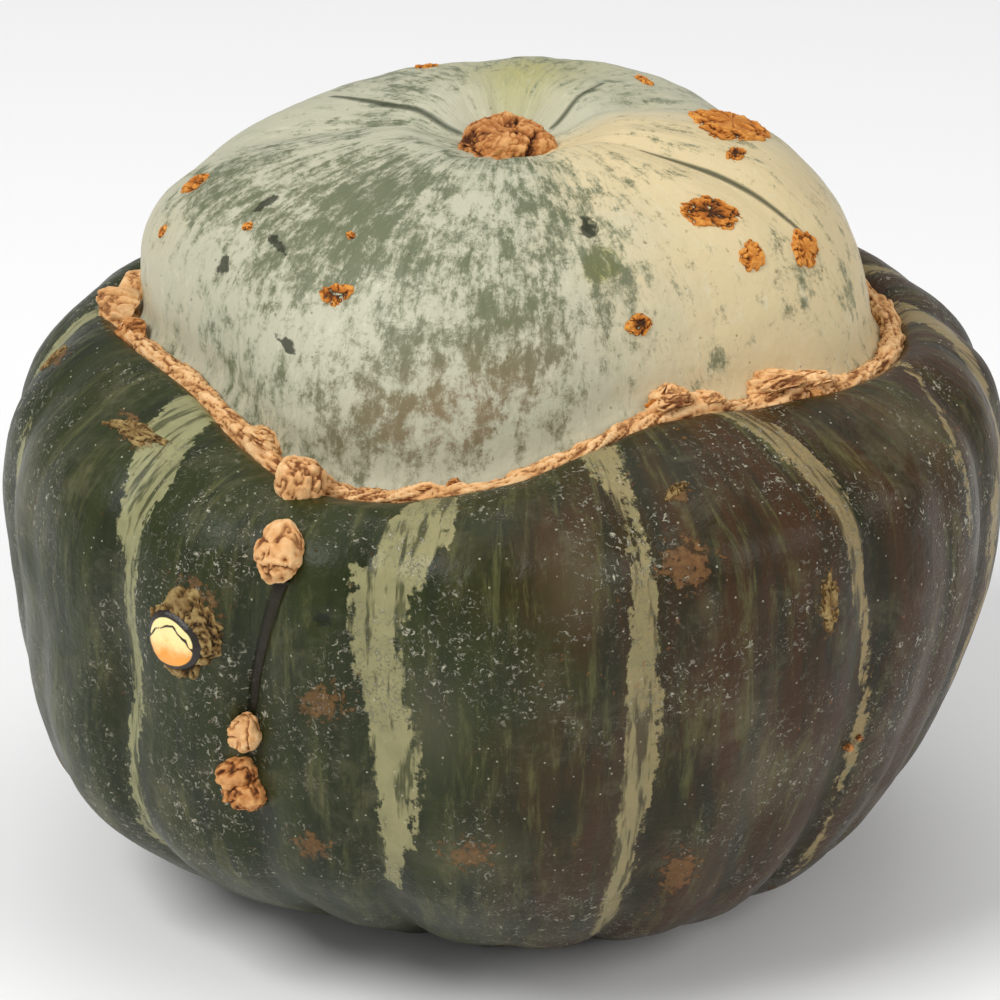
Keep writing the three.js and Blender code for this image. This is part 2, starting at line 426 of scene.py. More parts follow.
    def plain(self, azimuth: Array, distance: Array) -> tuple[Array, Array, Array, Array]:
        """Meridian without relief: the smooth cubic through the control points.

        Args:
            azimuth: Angles, shape (n,).
            distance: Distances along the meridian, shape (n,).

        Returns:
            Radius, height, and the radial and upward parts of the unit normal, each (n,).
        """
        k = np.clip(np.searchsorted(self.knots, distance, side="right") - 1, 0, len(self.knots) - 2)
        span = self.knots[k + 1] - self.knots[k]
        u = (distance - self.knots[k]) / span
        found = []
        for level, values in enumerate(self.control(azimuth)):
            inner = (values[2:] - values[:-2]) / (self.knots[2:] - self.knots[:-2])[:, None]
            ends = 0.0 if level else 1.0
            first = ends * (values[1] - values[0]) / (self.knots[1] - self.knots[0])
            last = ends * (values[-1] - values[-2]) / (self.knots[-1] - self.knots[-2])
            slopes = np.concatenate([first[None], inner, last[None]])
            start, end, m0, m1 = (np.take_along_axis(a, i[None], 0)[0] for a, i in
                                  ((values, k), (values, k + 1), (slopes, k), (slopes, k + 1)))
            found.append(hermite(u, span, start, end, m0, m1))
            slope = 6 * (u - u * u) * (end - start) / span + m0 * (1 - u) * (1 - 3 * u)
            found.append(slope + m1 * u * (3 * u - 2))
        radius, radius_slope, height, height_slope = found
        length = np.hypot(radius_slope, height_slope) + 1e-9
        return radius, height, height_slope / length, -radius_slope / length

    def relief(self, azimuth: Array, distance: Array) -> Array:
        """Height of ribs and button lobes over the plain skin.

        A groove is depth * exp(-(hypot(angle away, rounding) - rounding) / width).

        Args:
            azimuth: Angles, any shape.
            distance: Distances along the meridian, the same shape.

        Returns:
            Millimetres outward.
        """
        at = self.knots
        ribs = self.rib_rise - sum(
            depth * np.exp(-(np.hypot(wrapped(azimuth - side), self.groove_rounding) - self.groove_rounding)
                           / self.groove_width)
            for side, depth in BODY_GROOVES
        )
        valleys = sum(
            depth * np.exp(-(np.hypot(wrapped(azimuth - side), self.valley_rounding) - self.valley_rounding)
                           / width)
            for side, depth, width in BUTTON_VALLEYS
        )
        body = smooth_step(distance, at[1], at[4])
        body = body * (1 - 0.85 * smooth_step(distance, at[10], at[self.crease - 1]))
        body = body * (1 - smooth_step(distance, at[self.crease - 1], at[self.crease]))
        body = body * (0.75 + 0.25 * smooth_step(distance, at[4], at[7]))
        button = smooth_step(distance, at[self.crease + 2], at[self.crease + 5])
        button = button * (1 - smooth_step(distance, at[-4], at[-1]))
        return body * ribs - button * valleys

    def unevenness(self, azimuth: Array, distance: Array) -> Array:
        """Small lumps of the grown skin and the puckers that run into the blossom scar.

        Args:
            azimuth: Angles, any shape.
            distance: Distances along the meridian, the same shape.

        Returns:
            Millimetres outward: noise of 8 to 30 mm on the body, radial folds near the scar.
        """
        angle = np.radians(azimuth)
        turnwise = np.stack([np.sin(angle) * 3.4, np.cos(angle) * 3.4, distance / 28.0], axis=-1)
        lumps = (layered_noise(turnwise, 3, 3) - 0.5) * 1.5
        fine = (layered_noise(turnwise * np.array([4.5, 4.5, 3.2]), 9, 3) - 0.5) * 0.32
        clear = 1 - bell(distance, self.ring_distance, 5.0)
        fade = smooth_step(distance, self.knots[2], self.knots[5])
        fade = fade * smooth_step(self.knots[-1] - distance, 4, 30)
        puckers = np.sin(angle * 11 + 2.0 * np.sin(2 * angle)) + 0.6 * np.sin(angle * 17 + 1.1)
        near_scar = bell(distance, self.knots[-1] - 13.0, 6.5)
        return (lumps + fine) * clear * fade + 0.26 * puckers * near_scar

    def skin(self, azimuth: Array, distance: Array, lift: Array | float = 0.0) -> Array:
        """Points of the skin, or at a height over it.

        Args:
            azimuth: Angles in degrees, any shape.
            distance: Distances along the meridian, the same shape.
            lift: Height over the skin along its normal, a number or the same shape.

        Returns:
            Points in millimetres, shape (..., 3), never below the ground.
        """
        flat_azimuth = wrapped(np.ravel(azimuth))
        flat_distance = np.clip(np.ravel(distance), 0.0, self.knots[-1])
        radius, height, out, up = self.plain(flat_azimuth, flat_distance)
        rise = self.relief(flat_azimuth, flat_distance) + self.unevenness(flat_azimuth, flat_distance)
        rise = rise + np.broadcast_to(lift, np.shape(azimuth)).ravel()
        radius = np.maximum(radius + out * rise, 0.0)
        height = np.maximum(height + up * rise, 0.0)
        angle = np.radians(flat_azimuth)
        across = radius * np.sin(angle) + self.axis[0]
        back = -radius * np.cos(angle) + self.axis[1]
        points = np.stack([across, back, height], -1)
        return points.reshape(*np.shape(azimuth), 3)

    def degrees_per_mm(self, azimuth: float, distance: float) -> float:
        """How many degrees of azimuth make a millimetre on the skin at a place."""
        radius = self.plain(np.array([azimuth]), np.array([distance]))[0][0]
        return math.degrees(1.0 / max(float(radius), 4.0))


# --------------------------------------------------------------------------------------------------
# Shader building
# --------------------------------------------------------------------------------------------------


def linear(red: int, green: int, blue: int) -> tuple[float, float, float, float]:
    """Screen colour of 0 to 255 a channel as scene-linear values with full alpha."""

    def channel(value: int) -> float:
        """One channel through the screen's curve."""
        level = value / 255.0
        return level / 12.92 if level <= 0.04045 else ((level + 0.055) / 1.055) ** 2.4

    return channel(red), channel(green), channel(blue), 1.0


class Sheet:
    """A shader tree with one short method for each kind of node that the finishes use."""

    def __init__(self, tree: bpy.types.NodeTree) -> None:
        """Keeps the tree that the nodes go in."""
        self.tree = tree

    def node(self, kind: str, inputs: dict, **settings: object) -> bpy.types.Node:
        """Adds a node.

        Args:
            kind: Blender's node type.
            inputs: Values or output sockets by input name or number.
            settings: Properties of the node itself.

        Returns:
            The node.
        """
        made = self.tree.nodes.new(kind)
        for key, value in settings.items():
            setattr(made, key, value)
        for key, value in inputs.items():
            if isinstance(value, bpy.types.NodeSocket):
                self.tree.links.new(value, made.inputs[key])
            else:
                made.inputs[key].default_value = value
        return made

    def place(self) -> bpy.types.NodeSocket:
        """Object coordinates in metres."""
        return self.node("ShaderNodeTexCoord", {}).outputs["Object"]

    def attribute(self, name: str, vector: bool = False) -> bpy.types.NodeSocket:
        """A value or vector stored on the piece's vertices."""
        made = self.node("ShaderNodeAttribute", {}, attribute_name=name)
        return made.outputs["Vector" if vector else "Fac"]

    def noise(self, at: bpy.types.NodeSocket, scale: float, detail: float = 3.0, rough: float = 0.55,
              bend: float = 0.0) -> bpy.types.NodeSocket:
        """Noise between 0 and 1 at a scale per metre."""
        inputs = {"Vector": at, "Scale": scale, "Detail": detail, "Roughness": rough, "Distortion": bend}
        return self.node("ShaderNodeTexNoise", inputs).outputs["Fac"]

    def cells(self, at: bpy.types.NodeSocket, scale: float) -> bpy.types.Node:
        """Cell pattern whose distance is 0 in each cell's middle."""
        return self.node("ShaderNodeTexVoronoi", {"Vector": at, "Scale": scale})

    def math(
        self, operation: str, first: object, second: object = 0.0, clamp: bool = False
    ) -> bpy.types.NodeSocket:
        """Arithmetic on one or two values."""
        made = self.node("ShaderNodeMath", {0: first, 1: second}, operation=operation, use_clamp=clamp)
        return made.outputs[0]

    def step(
        self, value: object, start: float, end: float, low: float = 0.0, high: float = 1.0
    ) -> bpy.types.NodeSocket:
        """Smooth step of a value from start to end, given out between low and high."""
        inputs = {"Value": value, "From Min": start, "From Max": end, "To Min": low, "To Max": high}
        return self.node("ShaderNodeMapRange", inputs, interpolation_type="SMOOTHSTEP").outputs["Result"]

    def blend(self, share: object, first: object, second: object) -> bpy.types.NodeSocket:
        """Colour between the first, at 0, and the second, at 1."""
        made = self.node("ShaderNodeMix", {0: share, 6: first, 7: second}, data_type="RGBA")
        return made.outputs[2]

    def bump(self, height: bpy.types.NodeSocket, depth: float, under: bpy.types.NodeSocket | None = None,
             strength: float = 1.0) -> bpy.types.NodeSocket:
        """Normal bent by a height, with depth the metres of a step of 1."""
        inputs = {"Height": height, "Distance": depth, "Strength": strength}
        if under is not None:
            inputs["Normal"] = under
        return self.node("ShaderNodeBump", inputs).outputs["Normal"]

    def group(self, tree: bpy.types.NodeTree, inputs: dict) -> bpy.types.Node:
        """Places a node group with its own values."""
        return self.node("ShaderNodeGroup", inputs, node_tree=tree)


def new_group(
    name: str, inputs: dict[str, tuple[str, float]], outputs: dict[str, str]
) -> tuple[Sheet, dict, dict]:
    """Starts a node group.

    Args:
        name: The group's name.
        inputs: Socket type and default by input name.
        outputs: Socket type by output name.

    Returns:
        The sheet to build on, the sockets that come in, and the sockets that go out.
    """
    tree = bpy.data.node_groups.new(name, "ShaderNodeTree")
    for key, (kind, value) in inputs.items():
        socket = tree.interface.new_socket(key, in_out="INPUT", socket_type=kind)
        if kind == "NodeSocketFloat":
            socket.default_value = value
    for key, kind in outputs.items():
        tree.interface.new_socket(key, in_out="OUTPUT", socket_type=kind)
    entry = tree.nodes.new("NodeGroupInput")
    leave = tree.nodes.new("NodeGroupOutput")
    return Sheet(tree), entry.outputs, leave.inputs


def ragged_group() -> bpy.types.NodeTree:
    """Group that turns a signed distance into a mask with a torn edge.

    Returns:
        A group with inputs Distance (mm, positive inside), Place, Scale, Tear (mm) and Soft (mm), and
        output Mask = smooth step of (Distance + Tear * (noise - 0.5) * 2) over plus and minus Soft.
    """
    sheet, given, out = new_group(
        "ragged_edge",
        {
            "Distance": ("NodeSocketFloat", 0.0),
            "Place": ("NodeSocketVector", 0.0),
            "Scale": ("NodeSocketFloat", 300.0),
            "Tear": ("NodeSocketFloat", 2.0),
            "Soft": ("NodeSocketFloat", 0.3),
        },
        {"Mask": "NodeSocketFloat"},
    )
    noise = sheet.noise(given["Place"], given["Scale"], 4.0, 0.6)
    twice = sheet.math("MULTIPLY", given["Tear"], 2.0)
    torn = sheet.math("MULTIPLY", sheet.math("SUBTRACT", noise, 0.5), twice)
    signed = sheet.math("ADD", given["Distance"], torn)
    scaled = sheet.math("DIVIDE", signed, given["Soft"])
    sheet.tree.links.new(sheet.step(scaled, -1.0, 1.0), out["Mask"])
    return sheet.tree


def speck_group() -> bpy.types.NodeTree:
    """Group of scattered round specks, such as pores and flecks of scurf.

    Returns:
        A group with inputs Place, Scale, Size (share of a cell) and Share (how many cells have one), and
        output Mask.
    """
    sheet, given, out = new_group(
        "specks",
        {
            "Place": ("NodeSocketVector", 0.0),
            "Scale": ("NodeSocketFloat", 500.0),
            "Size": ("NodeSocketFloat", 0.2),
            "Share": ("NodeSocketFloat", 0.3),
        },
        {"Mask": "NodeSocketFloat"},
    )
    cells = sheet.cells(given["Place"], given["Scale"])
    away = sheet.math("DIVIDE", cells.outputs["Distance"], given["Size"])
    dot = sheet.math("SUBTRACT", 1.0, away, clamp=True)
    parts = sheet.node("ShaderNodeSeparateColor", {"Color": cells.outputs["Color"]})
    chosen = sheet.math("LESS_THAN", parts.outputs[0], given["Share"])
    sheet.tree.links.new(sheet.math("MULTIPLY", sheet.step(dot, 0.0, 0.5), chosen), out["Mask"])
    return sheet.tree


def new_material(name: str) -> tuple[bpy.types.Material, Sheet, bpy.types.Node]:
    """Starts a material: returns it, its sheet and its Principled shader."""
    material = bpy.data.materials.new(name)
    material.use_nodes = True
    shader = material.node_tree.nodes["Principled BSDF"]
    return material, Sheet(material.node_tree), shader


# --------------------------------------------------------------------------------------------------
# Finishes
# --------------------------------------------------------------------------------------------------


@dataclass(frozen=True)
class RindFinish:
    """Waxy rind: ribbed dark green body with torn pale stripes, and the pale mottled button."""

    green: tuple = linear(40, 47, 14)
    deep_green: tuple = linear(22, 29, 10)
    olive: tuple = linear(58, 34, 6)
    bloom: tuple = linear(108, 104, 78)
    stripe_left: tuple = linear(150, 148, 106)
    stripe_right: tuple = linear(150, 130, 88)
    celadon: tuple = linear(182, 180, 156)
    cream: tuple = linear(206, 188, 146)
    mottle: tuple = linear(84, 92, 62)
    umber_mottle: tuple = linear(120, 98, 66)
    olive_yellow: tuple = linear(166, 160, 92)
    haze: tuple = linear(134, 142, 120)
    seam: tuple = linear(50, 58, 34)
    # Painted shade down the groove under the beads.
    painted_bead_groove_shade: tuple = linear(30, 24, 12)
    rust: tuple = linear(142, 88, 42)
    scurf: tuple = linear(186, 182, 160)

    def build(self, ragged: bpy.types.NodeTree, specks: bpy.types.NodeTree) -> bpy.types.Material:
        """Makes the material.

        Args:
            ragged: The torn-edge group.
            specks: The specks group.

        Returns:
            The rind material, which reads the skin's attributes.
        """
        material, sheet, shader = new_material("rind")
        place = sheet.place()
        grain = sheet.attribute("grain", vector=True)
        warmth = sheet.attribute("warmth")
        body, body_height = self.body(sheet, place, grain, warmth, ragged, specks)
        button, button_height = self.button(sheet, place, grain, specks)
        on_button = sheet.step(sheet.attribute("button"), -0.4, 0.4)
        colour = sheet.blend(on_button, body, button)
        # Dark seams between the button's lobes, and painted shade down the groove under the beads on the
        # body.
        seam = sheet.step(sheet.math("SUBTRACT", sheet.attribute("seam_half"),
                                     sheet.math("ABSOLUTE", sheet.attribute("seam_offset"))), -0.5, 0.35)
        seam_and_groove_shade_colour = sheet.blend(on_button, self.painted_bead_groove_shade, self.seam)
        colour = sheet.blend(sheet.math("MULTIPLY", seam, 0.88), colour, seam_and_groove_shade_colour)
        dark = sheet.group(ragged, {"Distance": sheet.attribute("dark"), "Place": place, "Scale": 500.0,
                                    "Tear": 2.4, "Soft": 0.4}).outputs["Mask"]
        colour = sheet.blend(sheet.math("MULTIPLY", dark, 0.85), colour, self.deep_green)
        rust = sheet.group(ragged, {"Distance": sheet.attribute("rust"), "Place": place, "Scale": 620.0,
                                    "Tear": 6.5, "Soft": 0.8}).outputs["Mask"]
        rust_tint = sheet.blend(sheet.noise(place, 900.0, 3.0), linear(62, 40, 20), linear(172, 122, 72))
        colour = sheet.blend(sheet.math("MULTIPLY", rust, 0.5), colour, rust_tint)
        sheet.tree.links.new(colour, shader.inputs["Base Color"])
        uneven = sheet.noise(place, 60.0, 4.0)
        body_gloss = sheet.step(uneven, 0.25, 0.75, 0.28, 0.5)
        gloss = sheet.math("ADD", body_gloss, sheet.math("MULTIPLY", on_button, 0.08))
        gloss = sheet.math("ADD", gloss, sheet.math("MULTIPLY", rust, 0.22), clamp=True)
        sheet.tree.links.new(gloss, shader.inputs["Roughness"])
        shader.inputs["Specular IOR Level"].default_value = 0.24
        height = sheet.node("ShaderNodeMix", {0: on_button, 2: body_height, 3: button_height}).outputs[0]
        height = sheet.math("SUBTRACT", height, seam)
        height = sheet.math("ADD", height, sheet.math("MULTIPLY", rust, 0.5))
        sheet.tree.links.new(sheet.bump(height, 0.00045), shader.inputs["Normal"])
        return material

    def body(self, sheet: Sheet, place: object, grain: object, warmth: object, ragged: bpy.types.NodeTree,
             specks: bpy.types.NodeTree) -> tuple[object, object]:
        """Colour and bump height of the ribbed body.

        Args:
            sheet: Where the nodes go.
            place: Object coordinates.
            grain: Coordinates drawn out along the ribs.
            warmth: 0 on the green side to 1 on the brown side.
            ragged: The torn-edge group.
            specks: The specks group.

        Returns:
            The colour and height sockets.
        """
        patch = sheet.noise(place, 28.0, 5.0, 0.6)
        side = sheet.math("ADD", warmth, sheet.math("MULTIPLY", sheet.math("SUBTRACT", patch, 0.5), 1.7))
        colour = sheet.blend(sheet.step(side, 0.12, 0.95), self.green, self.olive)
        depth = sheet.noise(grain, 240.0, 5.0, 0.62)
        colour = sheet.blend(sheet.step(depth, 0.42, 0.66, 0.0, 0.75), colour, self.deep_green)
        light = sheet.step(sheet.noise(grain, 330.0, 8.0, 0.78, 0.4), 0.5, 0.68, 0.0, 0.5)
        colour = sheet.blend(light, colour, linear(104, 104, 60))
        # Painted shade: the rib grooves are darkened toward the deep green, by how deep each place lies in a
        # groove.
        cavity = sheet.attribute("cavity")
        colour = sheet.blend(sheet.math("MULTIPLY", cavity, 0.75), colour, self.deep_green)
        cloud = sheet.noise(place, 52.0, 8.0, 0.75, 0.6)
        bloom = sheet.step(cloud, 0.5, 0.72, 0.0, 0.42)
        wipe = sheet.noise(grain, 520.0, 4.0, 0.7)
        bloom = sheet.math("MULTIPLY", bloom, sheet.step(wipe, 0.3, 0.6, 0.45, 1.0))
        bloom = sheet.math("ADD", bloom, sheet.math("MULTIPLY", sheet.attribute("bloom"), 0.35), clamp=True)
        colour = sheet.blend(bloom, colour, self.bloom)
        crumbs = sheet.math("MULTIPLY", sheet.math("SUBTRACT", sheet.noise(place, 480.0, 5.0, 0.7), 0.5), 7.0)
        edge = sheet.math("ADD", sheet.attribute("stripe"), crumbs)
        stripe = sheet.group(ragged, {"Distance": edge, "Place": grain, "Scale": 420.0,
                                      "Tear": 3.4, "Soft": 0.4}).outputs["Mask"]
        dash = sheet.step(sheet.noise(grain, 560.0, 3.0, 0.6), 0.5, 0.62, 1.0, 0.2)
        stripe = sheet.math("MULTIPLY", stripe, dash)
        stripe_tint = sheet.blend(warmth, self.stripe_left, self.stripe_right)
        faded = sheet.step(sheet.noise(place, 300.0, 4.0), 0.35, 0.7, 0.0, 0.45)
        stripe_tint = sheet.blend(faded, stripe_tint, linear(122, 120, 84))
        colour = sheet.blend(sheet.math("MULTIPLY", stripe, 0.9), colour, stripe_tint)
        pores = sheet.group(specks, {"Place": place, "Scale": 600.0, "Size": 0.16, "Share": 0.35})
        pores = pores.outputs["Mask"]
        colour = sheet.blend(sheet.math("MULTIPLY", pores, 0.6), colour, self.scurf)
        scratch = sheet.noise(place, 780.0, 5.0, 0.75, 1.2)
        where = sheet.step(sheet.noise(place, 44.0, 3.0, 0.6), 0.44, 0.6)
        scurf = sheet.math("MULTIPLY", sheet.step(scratch, 0.55, 0.62), where)
        colour = sheet.blend(sheet.math("MULTIPLY", scurf, 0.7), colour, self.scurf)
        stain = sheet.math("MULTIPLY", sheet.step(sheet.noise(place, 640.0, 4.0, 0.7), 0.62, 0.7),
                           sheet.step(sheet.noise(place, 37.0, 2.0), 0.54, 0.66))
        stain = sheet.math("MULTIPLY", stain, sheet.step(warmth, 0.0, 0.8, 0.25, 0.75))
        colour = sheet.blend(stain, colour, self.rust)
        height = sheet.math("ADD", sheet.math("MULTIPLY", sheet.noise(place, 420.0, 6.0, 0.6), 0.7),
                            sheet.math("MULTIPLY", scurf, 0.35))
        height = sheet.math("ADD", height, sheet.math("MULTIPLY", sheet.noise(grain, 300.0, 3.0), 0.5))
        return colour, height

    def button(
        self, sheet: Sheet, place: object, grain: object, specks: bpy.types.NodeTree
    ) -> tuple[object, object]:
        """Colour and bump height of the turban-shaped button.

        Args:
            sheet: Where the nodes go.
            place: Object coordinates.
            grain: Coordinates drawn out toward the blossom scar.
            specks: The specks group.

        Returns:
            The colour and height sockets.
        """
        patch = sheet.noise(place, 34.0, 4.0, 0.6)
        side = sheet.math("ADD", sheet.attribute("cream"), sheet.math("SUBTRACT", patch, 0.5))
        colour = sheet.blend(sheet.step(side, 0.1, 0.9), self.celadon, self.cream)
        colour = sheet.blend(sheet.math("MULTIPLY", sheet.attribute("olive"), 0.8), colour, self.olive_yellow)
        streak = sheet.noise(grain, 260.0, 8.0, 0.72)
        fine = sheet.noise(place, 230.0, 10.0, 0.85, 0.3)
        mixed = sheet.math("ADD", sheet.math("MULTIPLY", streak, 0.42), sheet.math("MULTIPLY", fine, 0.58))
        amount = sheet.math("ADD", mixed, sheet.math("MULTIPLY", sheet.attribute("mottle"), 0.11))
        amount = sheet.math("ADD", amount, sheet.math("MULTIPLY", sheet.math("SUBTRACT", patch, 0.5), 0.3))
        haze = sheet.math("ADD", streak, sheet.math("MULTIPLY", sheet.math("SUBTRACT", patch, 0.5), 0.7))
        haze = sheet.math("SUBTRACT", haze, sheet.math("MULTIPLY", sheet.attribute("cream"), 0.12))
        colour = sheet.blend(sheet.step(haze, 0.42, 0.7, 0.0, 0.55), colour, self.haze)
        green = sheet.step(amount, 0.52, 0.63, 0.0, 0.85)
        tone = sheet.blend(sheet.attribute("umber"), self.mottle, self.umber_mottle)
        colour = sheet.blend(green, colour, tone)
        pale = sheet.step(sheet.noise(grain, 430.0, 4.0, 0.7), 0.55, 0.72, 0.0, 0.4)
        colour = sheet.blend(pale, colour, linear(208, 204, 178))
        pores = sheet.group(specks, {"Place": place, "Scale": 430.0, "Size": 0.14, "Share": 0.16})
        pores = pores.outputs["Mask"]
        colour = sheet.blend(sheet.math("MULTIPLY", pores, 0.6), colour, linear(92, 78, 48))
        height = sheet.math("ADD", sheet.math("MULTIPLY", sheet.noise(place, 330.0, 5.0, 0.55), 0.55),
                            sheet.math("MULTIPLY", sheet.noise(grain, 420.0, 3.0), 0.45))
        return colour, height


class CorkTone(Enum):
    """Colour families of the cork: pale rope, ruddy knot, orange scab, dark bark, or dull stem."""

    PALE = "pale"
    RUDDY = "ruddy"
    SCAB = "scab"
    BARK = "bark"
    STEM = "stem"


@dataclass(frozen=True)
class CorkFinish:
    """Dry cork: pale ridges, reddish-brown folds and fine fibres, with the folds darkened further as painted
    shade.
    """

    tone: CorkTone
    ridge: tuple
    middle: tuple
    fold: tuple
    fibre_scale: float = 900.0

    def build(self, specks: bpy.types.NodeTree) -> bpy.types.Material:
        """Makes the material.

        Args:
            specks: The specks group.

        Returns:
            A material that reads the cork's fold attribute, 0 on a ridge to 1 in a fold, and darkens toward
            the fold colour: the cork's own darker colour, deepened as painted shade.
        """
        material, sheet, shader = new_material(f"cork_{self.tone.value}")
        place = sheet.place()
        fold = sheet.attribute("fold")
        grain = sheet.noise(place, self.fibre_scale, 5.0, 0.7, 0.8)
        depth = sheet.math("ADD", fold, sheet.math("MULTIPLY", sheet.math("SUBTRACT", grain, 0.5), 0.75))
        # Toward the fold colour in the folds: the cork's own darker colour, deepened as painted shade.
        colour = sheet.blend(sheet.step(depth, 0.05, 0.6), self.ridge, self.middle)
        colour = sheet.blend(sheet.step(depth, 0.5, 1.05), colour, self.fold)
        patch = sheet.noise(place, 150.0, 3.0)
        colour = sheet.blend(sheet.step(patch, 0.5, 0.7, 0.0, 0.45), colour, self.middle)
        dust = sheet.group(specks, {"Place": place, "Scale": 1500.0, "Size": 0.3, "Share": 0.2})
        dust = dust.outputs["Mask"]
        colour = sheet.blend(sheet.math("MULTIPLY", dust, 0.35), colour, self.fold)
        sheet.tree.links.new(colour, shader.inputs["Base Color"])
        sheet.tree.links.new(sheet.step(fold, 0.0, 1.0, 0.62, 0.9), shader.inputs["Roughness"])
        shader.inputs["Specular IOR Level"].default_value = 0.3
        height = sheet.math("SUBTRACT", grain, sheet.math("MULTIPLY", fold, 0.6))
        sheet.tree.links.new(sheet.bump(height, 0.0003), shader.inputs["Normal"])
        return material


@dataclass(frozen=True)
class ResinFinish:
    """Dried sap in the open wound: pale yellow above, orange below, with painted shade in its crack and round
    its edge.
    """

    top: tuple = linear(246, 226, 158)
    low: tuple = linear(246, 164, 62)
    crack: tuple = linear(30, 22, 12)

    def build(self) -> bpy.types.Material:
        """Makes the material, which reads the attributes fold and upward."""
        material, sheet, shader = new_material("resin")
        place = sheet.place()
        grain = sheet.noise(place, 420.0, 4.0, 0.6)
        level = sheet.math("MULTIPLY", sheet.math("SUBTRACT", grain, 0.5), 0.9)
        level = sheet.math("ADD", sheet.attribute("upward"), level)
        colour = sheet.blend(sheet.step(level, -0.45, 0.25), self.low, self.top)
        # Painted shade round the dome's edge and in its crack.
        rim = sheet.step(sheet.attribute("fold"), 0.3, 0.75)
        colour = sheet.blend(rim, colour, self.crack)
        sheet.tree.links.new(colour, shader.inputs["Base Color"])
        shader.inputs["Roughness"].default_value = 0.42
        shader.inputs["Subsurface Weight"].default_value = 0.15
        shader.inputs["Subsurface Scale"].default_value = 0.002
        sheet.tree.links.new(sheet.bump(grain, 0.0004), shader.inputs["Normal"])
        return material


@dataclass(frozen=True)
class Finishes:
    """All the materials of the squash."""

    rind: bpy.types.Material
    cork: dict[CorkTone, bpy.types.Material]
    resin: bpy.types.Material

    @staticmethod
    def build() -> "Finishes":
        """Makes the node groups and every material."""
        ragged = ragged_group()
        specks = speck_group()
        tones = (
            CorkFinish(CorkTone.PALE, linear(240, 198, 144), linear(216, 160, 102), linear(116, 66, 32)),
            CorkFinish(CorkTone.RUDDY, linear(220, 164, 102), linear(176, 112, 56), linear(78, 40, 18)),
            CorkFinish(CorkTone.SCAB, linear(226, 156, 68), linear(180, 104, 30), linear(56, 32, 14)),
            CorkFinish(CorkTone.BARK, linear(164, 140, 88), linear(112, 84, 42), linear(30, 22, 10)),
            CorkFinish(CorkTone.STEM, linear(186, 160, 118), linear(142, 114, 76), linear(70, 48, 28), 500.0),
        )
        cork = {finish.tone: finish.build(specks) for finish in tones}
        return Finishes(RindFinish().build(ragged, specks), cork, ResinFinish().build())


# --------------------------------------------------------------------------------------------------
# Pieces
# --------------------------------------------------------------------------------------------------


def dress(piece: bpy.types.Object, material: bpy.types.Material, node: str | None = None) -> None:
    """Gives a piece its material, body and slot.

    Args:
        piece: The object.
        material: Its finish.
        node: The solid that the piece stands for, if it stands for one.
    """
    piece.data.materials.append(material)
    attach(piece, "root")
    if node is not None:
        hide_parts(node)
    LOG.info("%s: %d faces", piece.name, len(piece.data.polygons))


@dataclass
class Marking:
    """A line down the skin, by distance along the meridian: a stripe, a seam, a line of painted shade."""

    course: Pairs

    def offset(self, form: FruitForm, azimuth: Array, distance: Array) -> tuple[Array, Array]:
        """How far a place is from the marking.

        Args:
            form: The fruit's form.
            azimuth: Angles, any shape.
            distance: Distances along the meridian, the same shape.

        Returns:
            Signed millimetres across the marking, and its half-width there, which falls below 0
            past either end.
        """
        course = np.array(sorted(self.course))
        middle = np.interp(distance, course[:, 0], course[:, 1])
        half = np.interp(distance, course[:, 0], course[:, 2])
        past = np.maximum(course[0, 0] - distance, distance - course[-1, 0])
        half = half - np.maximum(past, 0.0) * 0.6
        radius = form.plain(wrapped(np.ravel(azimuth)), np.ravel(distance))[0].reshape(np.shape(azimuth))
        return np.radians(wrapped(azimuth - middle)) * radius, half


# Distance along the meridian, azimuth and half-width of each pale stripe of the front.
FRONT_STRIPES = (
    Marking(((192, -54, 5), (175, -48, 5), (155, -46, 2), (130, -46, 2), (95, -49, 1.5), (70, -50, 0.5))),
    Marking(((188, -10, 4), (175, -11, 6), (155, -14, 4), (130, -12, 4), (100, -13, 1))),
    Marking(((168, -17, 1), (154, -16, 1))),
    Marking(((191, 14, 3), (175, 15, 1), (150, 15, 3), (125, 15, 3), (95, 14, 2), (76, 14, 1))),
    Marking(((193, 38, 2), (178, 42, 4), (155, 42, 2), (130, 46, 1), (100, 48, 1), (80, 50, 0.5))),
    Marking(((194, 98, 5), (175, 86, 4), (150, 75, 2), (110, 76, 1))),
    Marking(((196, 75, 1), (170, 64, 1), (152, 64, 0.5))),
    Marking(((170, -80, 1), (138, -75, 1), (120, -76, 0.5))),
)
# The stripes of the sides and back follow the grooves there: azimuth and greatest half-width.
BACK_STRIPES: Pairs = ((-93, 3), (-126, 5), (-160, 4), (170, 2), (157, 4), (127, 4), (112, 2))
STRIPES = FRONT_STRIPES + tuple(
    Marking(((193, side, 0.7 * half), (175, side, half), (150, side, 0.5 * half), (130, side, 0.8 * half),
             (98, side, 0.3 * half)))
    for side, half in BACK_STRIPES
)
# The same for the dark lines: seams between the button's lobes, and painted shade down the groove under the
# beads.
SEAMS_AND_GROOVE_SHADE = (
    Marking(((262, 66, 0.2), (248, 68, 0.6), (226, 70, 0.2))),
    Marking(((248, -129, 0.3), (265, -122, 0.6), (280, -122, 0.3))),
    Marking(((260, 140, 0.1), (278, 132, 0.3))),
    Marking(((164, -25, 1.5), (142, -29, 1), (133, -30, 0.7))),
)
